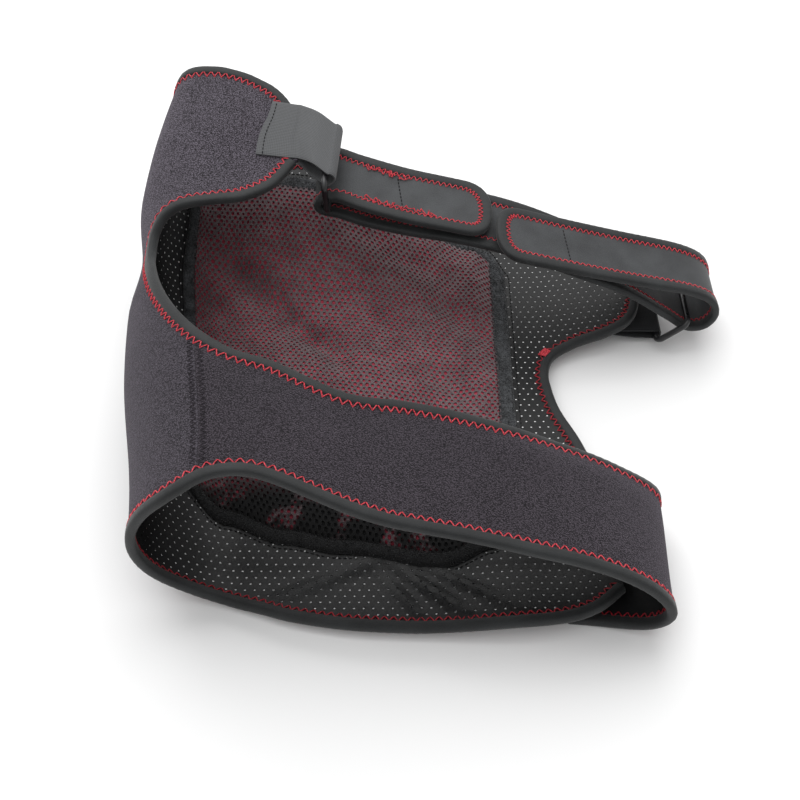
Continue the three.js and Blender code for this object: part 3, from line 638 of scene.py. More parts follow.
class Tree:
    """Nodes of one material."""

    def __init__(self, name: str) -> None:
        """Starts an empty material with its output."""
        self.material = bpy.data.materials.new(name)
        self.material.use_nodes = True
        self.tree = self.material.node_tree
        self.tree.nodes.clear()
        self.end = self.tree.nodes.new("ShaderNodeOutputMaterial")
        self.places = self.node("ShaderNodeTexCoord", {}, {})

    def node(self, kind: str, settings: dict[str, Any], inputs: dict[Any, Any]) -> bpy.types.Node:
        """Adds a node.

        Args:
            kind: Blender's type of the node.
            settings: Its own settings, set first.
            inputs: Values or links of its sockets, by name or number.

        Returns:
            The node.
        """
        node = self.tree.nodes.new(kind)
        for name, value in settings.items():
            setattr(node, name, value)
        for name, value in inputs.items():
            if isinstance(value, Value):
                value = value.socket
            if isinstance(value, bpy.types.NodeSocket):
                self.tree.links.new(value, node.inputs[name])
            else:
                node.inputs[name].default_value = value
        return node

    def noise(self, scale: float, detail: float = 2.0) -> Value:
        """Cloudy noise of about one cloud in each 1/scale metre."""
        inputs = {"Vector": self.places.outputs["Object"], "Scale": scale, "Detail": detail}
        return Value(self, self.node("ShaderNodeTexNoise", {}, inputs).outputs[0])

    def cells(self, scale: float) -> Value:
        """Distance to the nearest of scattered points."""
        inputs = {"Vector": self.places.outputs["Object"], "Scale": scale}
        return Value(self, self.node("ShaderNodeTexVoronoi", {}, inputs).outputs["Distance"])

    def axis_of(self, kind: str, axis: int) -> Value:
        """One axis of a kind of place, metres."""
        node = self.node("ShaderNodeSeparateXYZ", {}, {0: self.places.outputs[kind]})
        return Value(self, node.outputs[axis])

    def along(self, axis: int) -> Value:
        """Flat place of the cloth along one axis."""
        return self.axis_of("UV", axis)

    def place(self, axis: int) -> Value:
        """Place in the shared frame along one axis."""
        return self.axis_of("Object", axis)

    def between(self, low: Colour, high: Colour, share: Value) -> bpy.types.NodeSocket:
        """Colour between two by a share."""
        return self.blend((*low, 1), high, share)

    def blend(self, low: Any, high: Colour, share: Value) -> bpy.types.NodeSocket:
        """Colour between another node's colour and a fixed one by a share."""
        return self.node("ShaderNodeMix", {"data_type": "RGBA"}, {0: share, 6: low, 7: (*high, 1)}).outputs[2]

    def bump(self, height: Value, depth: float, strength: float = 1.0) -> bpy.types.NodeSocket:
        """Normal of a height map, depth in metres."""
        inputs = {"Height": height, "Distance": depth, "Strength": strength}
        return self.node("ShaderNodeBump", {}, inputs).outputs[0]

    def close(self, inputs: dict[str, Any]) -> bpy.types.Material:
        """Ends the material with the main shader."""
        shader = self.node("ShaderNodeBsdfPrincipled", {}, inputs)
        self.tree.links.new(shader.outputs[0], self.end.inputs[0])
        return self.material


@dataclass(frozen=True)
class Finish:
    """Look of one material."""

    name: str
    low: Colour
    high: Colour
    rough: float = 0.8
    sheen: float = 0.0
    sheen_tint: Colour = (1.0, 1.0, 1.0)

    def shader(self, colour: Any, normal: Any, rough: Any = None) -> dict[str, Any]:
        """Sockets that every cloth finish sets."""
        return {"Base Color": colour, "Normal": normal, "Roughness": self.rough if rough is None else rough,
                "Sheen Weight": self.sheen, "Sheen Roughness": 0.5, "Sheen Tint": (*self.sheen_tint, 1),
                "Specular IOR Level": 0.25}

    def make(self) -> bpy.types.Material:
        """Builds the material."""
        raise NotImplementedError


@dataclass(frozen=True)
class LoopFinish(Finish):
    """Brushed loop cloth: speckled fibre tufts over slow mottling, with painted light that makes it paler towards the
    far end.
    """

    # far: share of painted shade on the near part; painted light makes the far end, where the flap is, paler.
    far: float = 0.0

    def make(self) -> bpy.types.Material:
        """Tufts from cells and noise give the colour and the bump; the place along the brace paints light on the far
        end, and the near part is painted darker as shade.
        """
        tree = Tree(self.name)
        tufts = 1 - tree.cells(1300).over(0.1, 0.7)
        curls = tree.noise(1500, 4)
        slow = tree.noise(45, 2)
        share = (tufts * 0.35 + curls * 1.3 + slow * 0.12).over(0.55, 1.2)
        # Painted light and shade: the colour share is cut by the far share on the near part and rises to full towards
        # the far end, the flap.
        share = share * (tree.place(1).over(0.01, 0.08) * self.far + (1 - self.far))
        height = tufts * 0.6 + curls * 0.7
        return tree.close(self.shader(tree.between(self.low, self.high, share), tree.bump(height, 0.0007, 0.8)))


class KnitFinish(Finish):
    """Smooth knitted face: very fine grain with slow shading."""

    def make(self) -> bpy.types.Material:
        """Fine noise gives the grain, slow noise the shading."""
        tree = Tree(self.name)
        grain, slow = tree.noise(2300, 2), tree.noise(60, 2)
        share = (grain * 0.55 + slow * 0.6).over(0.3, 0.85)
        normal = tree.bump(grain + slow * 0.15, 0.00022, 0.6)
        rough = slow * 0.12 + (self.rough - 0.06)
        return tree.close(self.shader(tree.between(self.low, self.high, share), normal, rough))


@dataclass(frozen=True)
class NetFinish(Finish):
    """Net yarn or its backing: grainy, and fading towards the foot to near black, partly black fluff and partly painted
    shade under the band, with open patches.
    """

    # Near black of the foot: black fluff together with painted shade under the band.
    fluff_and_painted_shade: Colour = srgb(8, 8, 9)
    fade_from: float = -0.052
    fade_to: float = -0.08

    def make(self) -> bpy.types.Material:
        """Grain gives the colour; the place along the brace and slow noise give the fluff and the painted shade."""
        tree = Tree(self.name)
        grain, slow = tree.noise(1900, 2), tree.noise(70, 2)
        share = (grain * 0.8 + slow * 0.25).over(0.3, 0.8)
        patches = (tree.noise(48, 1) + tree.noise(420, 2) * 0.3).over(0.62, 0.76)
        foot = tree.place(1).over(self.fade_from, self.fade_to)
        colour = tree.between(self.low, self.high, share)
        # Painted shade and fluff: the colour goes to near black towards the foot, except in the open patches.
        colour = tree.blend(colour, self.fluff_and_painted_shade, foot * (1 - patches * 0.85))
        return tree.close(self.shader(colour, tree.bump(grain, 0.0002, 0.6)))


@dataclass(frozen=True)
class RibFinish(Finish):
    """Woven elastic: fine ribs along the strip crossed by close picks, read from the flat places."""

    rib_pitch: float = 0.0011
    pick_pitch: float = 0.0009

    def make(self) -> bpy.types.Material:
        """Sines of the flat places give ribs and picks."""
        tree = Tree(self.name)
        ribs = (tree.along(0) * (2 * math.pi / self.rib_pitch)).sine() * 0.5 + 0.5
        picks = (tree.along(1) * (2 * math.pi / self.pick_pitch)).sine() * 0.5 + 0.5
        grain = tree.noise(1400, 2)
        height = ribs * 0.5 + picks * 0.3 + grain * 0.5
        colour = tree.between(self.low, self.high, height.over(0.25, 1.05))
        return tree.close(self.shader(colour, tree.bump(height, 0.00018, 0.45)))


@dataclass(frozen=True)
class PileFinish(Finish):
    """Short plush: streaky fibres, darker towards the foot."""

    fade_from: float = -0.03
    fade_to: float = -0.075
    dark: Colour = srgb(9, 9, 10)

    def make(self) -> bpy.types.Material:
        """Noise at two sizes gives streaks; the place along the brace darkens them."""
        tree = Tree(self.name)
        streaks, tufts = tree.noise(1100, 4), tree.noise(220, 2)
        share = (streaks * 0.7 + tufts * 0.6).over(0.4, 0.95)
        foot = tree.place(1).over(self.fade_from, self.fade_to)
        colour = tree.blend(tree.between(self.low, self.high, share), self.dark, foot * 0.9)
        return tree.close(self.shader(colour, tree.bump(streaks, 0.0008, 0.9)))


class ThreadFinish(Finish):
    """Twisted thread: light and dark from its plies."""

    def make(self) -> bpy.types.Material:
        """Noise stands for the plies."""
        tree = Tree(self.name)
        plies = tree.noise(1700, 2)
        colour = tree.between(self.low, self.high, plies.over(0.35, 0.65))
        return tree.close(self.shader(colour, tree.bump(plies, 0.0002, 0.6)))


class MouldedFinish(Finish):
    """Moulded plastic: low gloss with a trace of texture."""

    def make(self) -> bpy.types.Material:
        """Fine noise roughens the gloss."""
        tree = Tree(self.name)
        grain, wear = tree.noise(900, 2), tree.noise(160, 3)
        colour = tree.between(self.low, self.high, wear.over(0.35, 0.75))
        rough = wear * 0.2 + (self.rough - 0.1)
        return tree.close({**self.shader(colour, tree.bump(grain, 0.00006, 0.5), rough), "Specular IOR Level": 0.5})


class Look(Enum):
    """Finishes of the brace."""

    # LOOP's last number, 0.45, is its far share: painted shade on the near part of the body, painted light on the flap.
    LOOP = LoopFinish("loop_fabric", srgb(19, 17, 20), srgb(108, 102, 112), 0.95, 0.2, srgb(205, 195, 210), 0.45)
    # The band's loop fabric is the body's fabric painted darker as shade: the band faces the front and gets less light.
    LOOP_BAND_SHADED = LoopFinish("loop_band_painted_shade", srgb(12, 10, 13), srgb(69, 63, 70), 0.95, 0.24, srgb(205, 195, 210))
    LINING = KnitFinish("lining_knit", srgb(6, 6, 7), srgb(20, 21, 22), 0.42)
    SMOOTH = KnitFinish("inner_face", srgb(9, 9, 10), srgb(22, 23, 25), 0.55)
    CORE = KnitFinish("core_foam", srgb(246, 246, 247), srgb(254, 254, 254), 0.9)
    TAPE = KnitFinish("binding_jersey", srgb(23, 24, 25), srgb(43, 45, 46), 0.58, 0.12)
    STRAP = KnitFinish("strap_jersey", srgb(44, 45, 47), srgb(70, 72, 74), 0.62, 0.1)
    NET = NetFinish("net_thread", srgb(52, 42, 45), srgb(122, 104, 107), 0.8, 0.12)
    BACKING = NetFinish("net_backing", srgb(122, 30, 46), srgb(190, 70, 88), 0.85, 0.08)
    PLUSH = PileFinish("plush", srgb(28, 29, 30), srgb(80, 82, 85), 0.95, 0.2)
    ELASTIC = RibFinish("webbing_grey", srgb(72, 73, 74), srgb(95, 96, 98), 0.75, 0.1)
    ELASTIC_BLACK = RibFinish("webbing_black", srgb(20, 21, 22), srgb(40, 41, 43), 0.8, 0.1)
    PLASTIC = MouldedFinish("ring_plastic", srgb(18, 18, 20), srgb(34, 34, 36), 0.3)
    RED = ThreadFinish("thread_red", srgb(146, 18, 32), srgb(222, 74, 86), 0.5, 0.08)
    RED_DARK = ThreadFinish("thread_red_dark", srgb(100, 8, 20), srgb(176, 34, 48), 0.5, 0.06)
    SEAM = ThreadFinish("thread_seam", srgb(34, 31, 35), srgb(58, 53, 59), 0.8)
    BLACK = ThreadFinish("thread_black", srgb(9, 9, 10), srgb(28, 28, 30), 0.55)

    def material(self) -> bpy.types.Material:
        """The material of this look, made once."""
        found = bpy.data.materials.get(self.value.name + "_look")
        if found is None:
            found = self.value.make()
            found.name = self.value.name + "_look"
        return found


def put(name: str, mesh: MeshData, looks: Sequence[Look], smooth_angle: float = 50.0) -> bpy.types.Object:
    """Makes an object of a mesh, in metres in the shared frame, and rides it on the brace.

    Args:
        name: Name of the piece.
        mesh: Its shape, mm.
        looks: One look for each finish number.
        smooth_angle: Edges sharper than this stay sharp, degrees.

    Returns:
        The piece.
    """
    data = bpy.data.meshes.new(name)
    sizes = np.concatenate([np.full(len(f), f.shape[1]) for f in mesh.faces])
    corners = np.concatenate([f.reshape(-1) for f in mesh.faces])
    data.vertices.add(len(mesh.points))
    data.vertices.foreach_set("co", ((mesh.points - CENTRE) * MM).astype(np.float32).ravel())
    data.loops.add(len(corners))
    data.loops.foreach_set("vertex_index", corners.astype(np.int32))
    data.polygons.add(len(sizes))
    data.polygons.foreach_set("loop_start", (np.cumsum(sizes) - sizes).astype(np.int32))
    marks = mesh.finishes or [0] * len(mesh.faces)
    number = np.concatenate([np.full(len(f), min(m, len(looks) - 1)) for f, m in zip(mesh.faces, marks)])
    data.polygons.foreach_set("material_index", number.astype(np.int32))
    if mesh.uv is not None:
        layer = data.uv_layers.new(name="flat")
        layer.data.foreach_set("uv", (mesh.uv[corners] * MM).astype(np.float32).ravel())
    data.update(calc_edges=True)
    data.validate()
    data.shade_smooth()
    data.set_sharp_from_angle(angle=math.radians(smooth_angle))
    for look in looks:
        data.materials.append(look.material())
    piece = bpy.data.objects.new(name, data)
    bpy.context.scene.collection.objects.link(piece)
    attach(piece, "root")
    LOG.info("%s: %d points, %d faces", name, len(mesh.points), len(sizes))
    return piece


def flat_area(mesh: MeshData) -> float:
    """Area of the first face array of a mesh, in square metres: half the size of each triangle's cross product."""
    p = mesh.points[mesh.faces[0]]
    fans = [np.cross(p[:, i] - p[:, 0], p[:, i + 1] - p[:, 0]) for i in range(1, p.shape[1] - 1)]
    return float(sum(np.linalg.norm(fan, axis=1).sum() / 2 for fan in fans)) * MM * MM


@dataclass(frozen=True)
class Edging:
    """Folded tape over the edge of a cloth, sewn on with a zigzag on both faces."""

    cloth: float = 2.6
    reach: float = 4.4
    proud: float = 1.15
    rim: float = 1.5
    pucker: float = 0.1
    zigzag_in: float = 2.4
    zigzag_on: float = 1.0
    pitch: float = 4.5
    thread: float = 0.34
    samples: int = 12
    back_share: float = 0.9
    arms: tuple[tuple[float, float], ...] = ((1.0, 0.12), (0.93, 0.5), (0.78, 0.86), (0.5, 1.0), (0.2, 1.0))
    cap_angles: tuple[float, ...] = (72, 45, 20, 0, -20, -45, -72)
    cap_power: float = 0.8
    sunk: float = 0.1
    rounding: float = 0.2
    thread_on: float = 0.3
    thread_climb: float = 0.55
    thread_dip: float = 0.42
    tack_long: float = 4.2
    tack_legs: int = 9
    tack_rows: tuple[float, ...] = (3.6, 2.0, 0.2, -1.6)
    tack_lifts: tuple[float, ...] = (0.2, 0.75, 1.1, 1.2)
    tack_thread: float = 0.4

    @property
    def flat_width(self) -> float:
        """Width of the tape opened out, metres."""
        return (2 * (self.reach + self.rim) + self.cloth) * MM

    def tape(self, path: EdgePath) -> MeshData:
        """Tape round the edge.

        Its profile rises from the cloth to a flat crown, goes round the edge in half an ellipse and comes back
        under the cloth; the crown swells a little between the stitches.

        Args:
            path: Edge of the cloth.

        Returns:
            The mesh.
        """
        skin = self.cloth / 2
        swell = self.pucker * np.cos(2 * np.pi * path.s / self.pitch)[:, None]
        frames = [path.inward(self.reach * share) for share, _ in self.arms]
        lifts = [n * (skin + self.proud * high + swell * high) for (_, n), (_, high) in zip(frames, self.arms)]
        upper, lower = ([p + side * lift for (p, _), lift in zip(frames, lifts)] for side in (1, -1))
        crown = skin + self.proud + swell
        cap = [path.p + path.out * self.rim * math.cos(t) ** self.cap_power + path.n * crown * math.sin(t)
               for t in np.radians(self.cap_angles)]
        inner = skin - self.sunk
        under = [p - n * inner for p, n in frames[::2]] + [p + n * inner for p, n in frames[::-2]]
        rings = np.stack([*upper, *cap, *lower[::-1], *under], axis=1)
        return profile_along(rings, path.closed)

    def zigzag(self, path: EdgePath, side: int) -> MeshData:
        """Zigzag thread beside the tape, dipping into the cloth at each turn.

        The thread swings between two lines on the cloth as a rounded triangle wave of the length.

        Args:
            path: Edge of the cloth.
            side: 1 on the outward face, -1 on the inner face.

        Returns:
            The thread.
        """
        swings = int(path.length / self.pitch)
        s = np.linspace(0, 1, swings * self.samples + 1) * path.length
        if path.closed:
            s = s[:-1]
        phase = s / path.length * swings
        wave = np.abs(2 * (phase - np.floor(phase)) - 1)
        wave = mix(wave, ease(wave), self.rounding)
        swing = 1.0 if side > 0 else self.back_share
        lines = [path.inward(self.reach + self.zigzag_in * swing), path.inward(self.reach - self.zigzag_on)]
        (p0, n0), (p1, n1) = ((path.at(p, s), path.at(n, s)) for p, n in lines)
        p, n = mix(p0, p1, wave[:, None]), unit(mix(n0, n1, wave[:, None]))
        dip = (2 * np.abs(wave - 0.5)) ** 4
        lift = self.cloth / 2 + self.thread_on + self.thread_climb * wave - self.thread_dip * dip
        line = p + n * (side * lift)[:, None]
        strand = tubes(line[None], (n * side)[None], self.thread, 5, path.closed)
        return MeshData(strand.points, strand.faces, [0 if side > 0 else 1] * len(strand.faces))

    def bar_tack(self, path: EdgePath, share: float) -> MeshData:
        """Close satin legs over the zigzag of the inner face: straight strands side by side.

        Args:
            path: Edge of the cloth.
            share: Place of the tack as a share of the path.

        Returns:
            The strands, marked as the bright thread.
        """
        s = share * path.length + np.linspace(-0.5, 0.5, self.tack_legs) * self.tack_long
        rows = [path.inward(self.reach + off) for off in self.tack_rows]
        p, n = (np.stack([path.at(row[part], s) for row in rows], axis=1) for part in (0, 1))
        lift = self.cloth / 2 + np.array(self.tack_lifts)
        strands = tubes(p - n * lift[None, :, None], -n, self.tack_thread, 5)
        return MeshData(strands.points, strands.faces, [0] * len(strands.faces))


def dashes(line: Array, normal: Array, length: float, gap: float, radius: float) -> MeshData:
    """Row of straight stitches along a line: short strands with sunk ends.

    Args:
        line: Points of the line, mm.
        normal: Direction off the cloth at each point.
        length: Length of a stitch, mm.
        gap: Space between stitches, mm.
        radius: Radius of the thread, mm.

    Returns:
        The stitches.
    """
    run = lengths(line)
    starts = np.arange(gap / 2, run[-1] - length, length + gap)
    s = starts[:, None] + np.linspace(0, length, 4)[None]
    p, n = read(line, run, s), unit(read(normal, run, s))
    sink = np.array([-radius, radius * 0.6, radius * 0.6, -radius])
    return tubes(p + n * sink[None, :, None], n, radius, 4)


@dataclass
class Shell:
    """Neoprene body and wrap band, with the perforated lining and the edge tapes."""

    cloth: float = 2.6
    lining_thick: float = 0.4
    hole_pitch: float = 4.8
    hole_radius: float = 0.6
    hole_corners: int = 8
    edge_clear: float = 6.5
    pocket_clear: float = 2.2
    lattice_run: tuple[float, float] = (-150, 330)
    lattice_y: tuple[float, float] = (-130, 200)
    lining_sunk: float = 0.04
    folds: tuple[tuple[float, ...], ...] = (
        (-18, -104, 0.75, 26, 4.0, 2.3), (-34, -100, 0.6, 22, 3.6, 1.9),
        (-2, -107, 0.95, 18, 3.2, 1.6), (40, -96, -0.5, 30, 4.6, 1.3),
    )
    near_steps: int = 30
    far_steps: int = 26
    band_steps: int = 22
    tip_run: float = 0.158
    flap_from: float = 0.86
    band_from: float = 0.92
    rim_foot: float = -97.0
    tack_share: float = 0.7743
    seam_gap: float = 0.0005
    seam_span: tuple[float, float] = (0.075, 0.94)
    seam_rows: tuple[float, float] = (-2.4, 2.4)
    seam_pitch: float = 3.0
    seam_swing: float = 1.5
    seam_on: float = 0.04
    seam_dip: float = 0.2
    seam_radius: float = 0.26
    edging: Edging = Edging()

    def body(self) -> None:
        """Builds the body: two strips of cloth on the wrap that share a line up to the tip of the window."""
        shared = np.concatenate([np.linspace(-1, 0, 46), np.linspace(0, CUT.window_tip, 30)[1:]])
        tip_q = CUT.window_tip + np.linspace(0, 1, 12)[1:] ** 1.8 * self.tip_run
        near_q = np.concatenate([shared, tip_q])
        far_q = np.concatenate([near_q, np.linspace(self.flap_from, CUT.flap_end, 26)])
        near = strip_places(near_q, CUT.near_edge, CUT.near_top, self.near_steps)
        near = np.concatenate([near, CUT.seam(np.linspace(0, 1, self.near_steps), -self.seam_gap)[None]])
        far = strip_places(far_q, CUT.far_foot, CUT.far_edge, self.far_steps)
        near_index = grid_index(*near.shape[:2])
        far_index = grid_index(*far.shape[:2]) + near_index.size
        far_index[: len(shared), 0] = near_index[: len(shared), -1]
        places = np.concatenate([near.reshape(-1, 2), far.reshape(-1, 2)])
        used = np.unique(np.concatenate([near_index.ravel(), far_index.ravel()]))
        faces = np.concatenate([grid_faces(near_index), grid_faces(far_index)])
        faces = np.searchsorted(used, faces)
        p, n, _, _ = WRAP.frame(*places[used].T)
        mesh = thicken(p, n, [faces], self.cloth / 2, -self.cloth / 2 + self.lining_thick)
        piece = put("body_shell", mesh, [Look.LOOP, Look.CORE])
        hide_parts("body")
        flat_area(mesh)

    def outline(self) -> Array:
        """Edge of the lining as runs of cloth and places along the loop axis, anticlockwise."""
        hem = np.linspace(-1, CUT.seam_near, 190)
        seam = CUT.seam(np.linspace(0, 1, self.near_steps)[1:], -self.seam_gap)
        top = np.linspace(CUT.seam_far, CUT.window_tip, 50)[1:]
        foot = CUT.window_tip + np.linspace(0, 1, 80)[1:] ** 1.5 * (CUT.flap_end - CUT.window_tip)
        end = np.linspace(float(CUT.flap_low(CUT.flap_end)), float(CUT.far_edge(CUT.flap_end)), 12)[1:]
        far = np.linspace(CUT.flap_end, -1, 190)[1:]
        side = np.linspace(float(CUT.far_edge(-1)), float(CUT.near_edge(-1)), 110)[1:-1]
        places = np.concatenate([
            pairs(hem, CUT.near_edge(hem)), seam, pairs(top, CUT.near_top(top)), pairs(foot, CUT.flap_low(foot)),
            pairs(CUT.flap_end, end), pairs(far, CUT.far_edge(far)), pairs(-1.0, side),
        ])
        return pairs(WRAP.run(*places.T), places[:, 1])

    def wrinkles(self, run: Array, y: Array) -> Array:
        """Folds of the lining near the mouth: ridges across a few slanted lines that fade along them, mm."""
        lift = np.zeros_like(run)
        for run0, y0, turn, long, wide, high in self.folds:
            c, s = math.cos(turn), math.sin(turn)
            along, off = (run - run0) * c + (y - y0) * s, -(run - run0) * s + (y - y0) * c
            lift += high * np.exp(-((along / long) ** 2) - (off / wide) ** 2)
        return lift

    def hole_spots(self, edge: Array, hollow: Array) -> Array:
        """Middles of the holes: a staggered lattice, kept clear of the edge and of the pocket.

        Args:
            edge: Outline of the lining, in runs and places.
            hollow: Outline of the part that the pocket covers.

        Returns:
            The middles, in runs and places.
        """
        rows = np.arange(*self.lattice_y, self.hole_pitch * math.sin(math.pi / 3))
        columns = np.arange(*self.lattice_run, self.hole_pitch)
        shift = (np.arange(len(rows)) % 2)[:, None] * self.hole_pitch / 2
        spots = pairs(columns[None] + shift, rows[:, None]).reshape(-1, 2)
        spots = spots[inside(spots, edge) & ~inside(spots, hollow)]
        clear = np.minimum(distance_to(spots, edge) - self.edge_clear, distance_to(spots, hollow) - self.pocket_clear)
        return spots[clear > 0]

    def lining(self, hollow: Array) -> None:
        """Builds the lining: a flat cut with a staggered lattice of round holes, laid on the wrap.

        Args:
            hollow: Outline of the part that the pocket covers, in runs and places, clockwise or not.
        """
        edge = self.outline()
        angle = (np.arange(self.hole_corners) + 0.5) * 2 * np.pi / self.hole_corners
        spots = self.hole_spots(edge, hollow)
        rings = spots[:, None] + self.hole_radius * pairs(np.cos(angle), np.sin(angle))
        loops = [edge, hollow, *rings]
        flat = np.concatenate(loops)
        sizes = np.array([len(loop) for loop in loops])
        first = np.cumsum(sizes) - sizes
        where = np.arange(len(flat))
        follow = where + 1
        follow[first + sizes - 1] = first
        links = pairs(where, follow)
        found = delaunay_2d_cdt([Vector(v) for v in flat.tolist()], links.tolist(), [], 0, 1e-5, False)
        faces = np.array(found[2])
        ring_of = np.maximum(np.searchsorted(first, where, side="right") - 3, -1)[faces]
        in_hole = (ring_of[:, 0] >= 0) & (ring_of == ring_of[:, :1]).all(axis=1)
        middles = flat[faces].mean(axis=1)
        faces = faces[inside(middles, edge) & ~inside(middles, hollow) & ~in_hole]
        p, n, _, _ = WRAP.frame(WRAP.station(*flat.T), flat[:, 1])
        base = -self.cloth / 2 - self.wrinkles(*flat.T)
        mesh = thicken(p, n, [faces], base + self.lining_thick - self.lining_sunk, base)
        piece = put("lining", mesh, [Look.LINING])
        flat_area(mesh)

    def band(self) -> None:
        """Builds the wrap band: a strip of the wrap from the seam, round the front, to its tail."""
        q = np.concatenate([np.linspace(self.band_from, 2, 60), np.linspace(2, 3, 46)[1:], np.linspace(3, 4, 8)[1:]])
        start = CUT.seam(np.linspace(0, 1, self.band_steps), self.seam_gap)[None]
        places = np.concatenate([start, strip_places(q, CUT.near_edge, CUT.near_top, self.band_steps)])
        p, n, _, _ = WRAP.frame(*places.reshape(-1, 2).T)
        mesh = thicken(p, n, [grid_faces(grid_index(*places.shape[:2]))], self.cloth / 2, -self.cloth / 2)
        # The band's outer face uses the darker copy of the loop fabric, with painted shade.
        piece = put("band_shell", mesh, [Look.LOOP_BAND_SHADED, Look.SMOOTH])
        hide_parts("wrap_band")
        flat_area(mesh)

    def paths(self) -> dict[str, EdgePath]:
        """Edges that the three tapes follow."""
        hem = np.linspace(-1, 4, 900)
        back = np.linspace(4, CUT.window_tip, 500)
        foot = CUT.window_tip + np.linspace(0, 1, 200)[1:] ** 1.5 * (CUT.foot_end - CUT.window_tip)
        far = np.linspace(CUT.rim_end, -1, 500)
        side = np.linspace(float(CUT.far_edge(-1)), self.rim_foot, 240)[1:]
        window = np.concatenate([pairs(back, CUT.near_top(back)), pairs(foot, CUT.flap_low(foot))])
        window[len(back) - 1, 1] = CUT.mid_left
        return {
            "binding_hem": EdgePath(WRAP, pairs(hem, CUT.near_edge(hem))),
            "binding_rim": EdgePath(WRAP, np.concatenate([pairs(far, CUT.far_edge(far)), pairs(-1.0, side)])),
            "binding_window": EdgePath(WRAP, window),
        }

    def tapes(self) -> None:
        """Builds the three tapes and their zigzags."""
        for name, path in self.paths().items():
            tape = put(name.replace("binding", "tape"), self.edging.tape(path), [Look.TAPE])
            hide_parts(name)
            threads = [self.edging.zigzag(path, -1)]
            if name == "binding_rim":
                threads.append(self.edging.bar_tack(path, self.tack_share))
            mesh = self.edging.zigzag(path, 1).joined(threads)
            zigzag = put(name.replace("binding", "zigzag"), mesh, [Look.RED, Look.RED_DARK])

    def seam(self) -> None:
        """Builds the dark double zigzag that joins body and band: close legs on both sides of the seam line."""
        p, n, along, _ = WRAP.frame(*CUT.seam(np.linspace(*self.seam_span, 900)).T)
        phase = lengths(p) / self.seam_pitch
        wave = 2 * np.abs(2 * (phase - np.floor(phase)) - 1) - 1
        lift = self.cloth / 2 + self.seam_on - self.seam_dip * wave**4
        strands = [p + unit(along) * (row + self.seam_swing * wave)[:, None] + n * lift[:, None]
                   for row in self.seam_rows]
        mesh = tubes(np.stack(strands), np.stack([n, n]), self.seam_radius, 4)
        put("seam_thread", mesh, [Look.SEAM])


def inside(spots: Array, loop: Array) -> Array:
    """Whether each spot lies inside a loop: an odd count of edges crossed on the way to one side."""
    a, b = loop, np.roll(loop, -1, axis=0)
    x, y = spots[:, :1], spots[:, 1:]
    spans = (a[:, 1] > y) != (b[:, 1] > y)
    with np.errstate(divide="ignore", invalid="ignore"):
        cross = a[:, 0] + (y - a[:, 1]) / (b[:, 1] - a[:, 1]) * (b[:, 0] - a[:, 0])
    return (np.sum(spans & (x < cross), axis=1) % 2) == 1


def distance_to(spots: Array, loop: Array) -> Array:
    """Distance of each spot to the nearest edge of a loop."""
    a, b = loop, np.roll(loop, -1, axis=0)
    d = b - a
    t = np.clip(np.sum((spots[:, None] - a) * d, axis=-1) / np.maximum(np.sum(d * d, axis=-1), 1e-9), 0, 1)
    return np.linalg.norm(spots[:, None] - a - t[..., None] * d, axis=-1).min(axis=1)


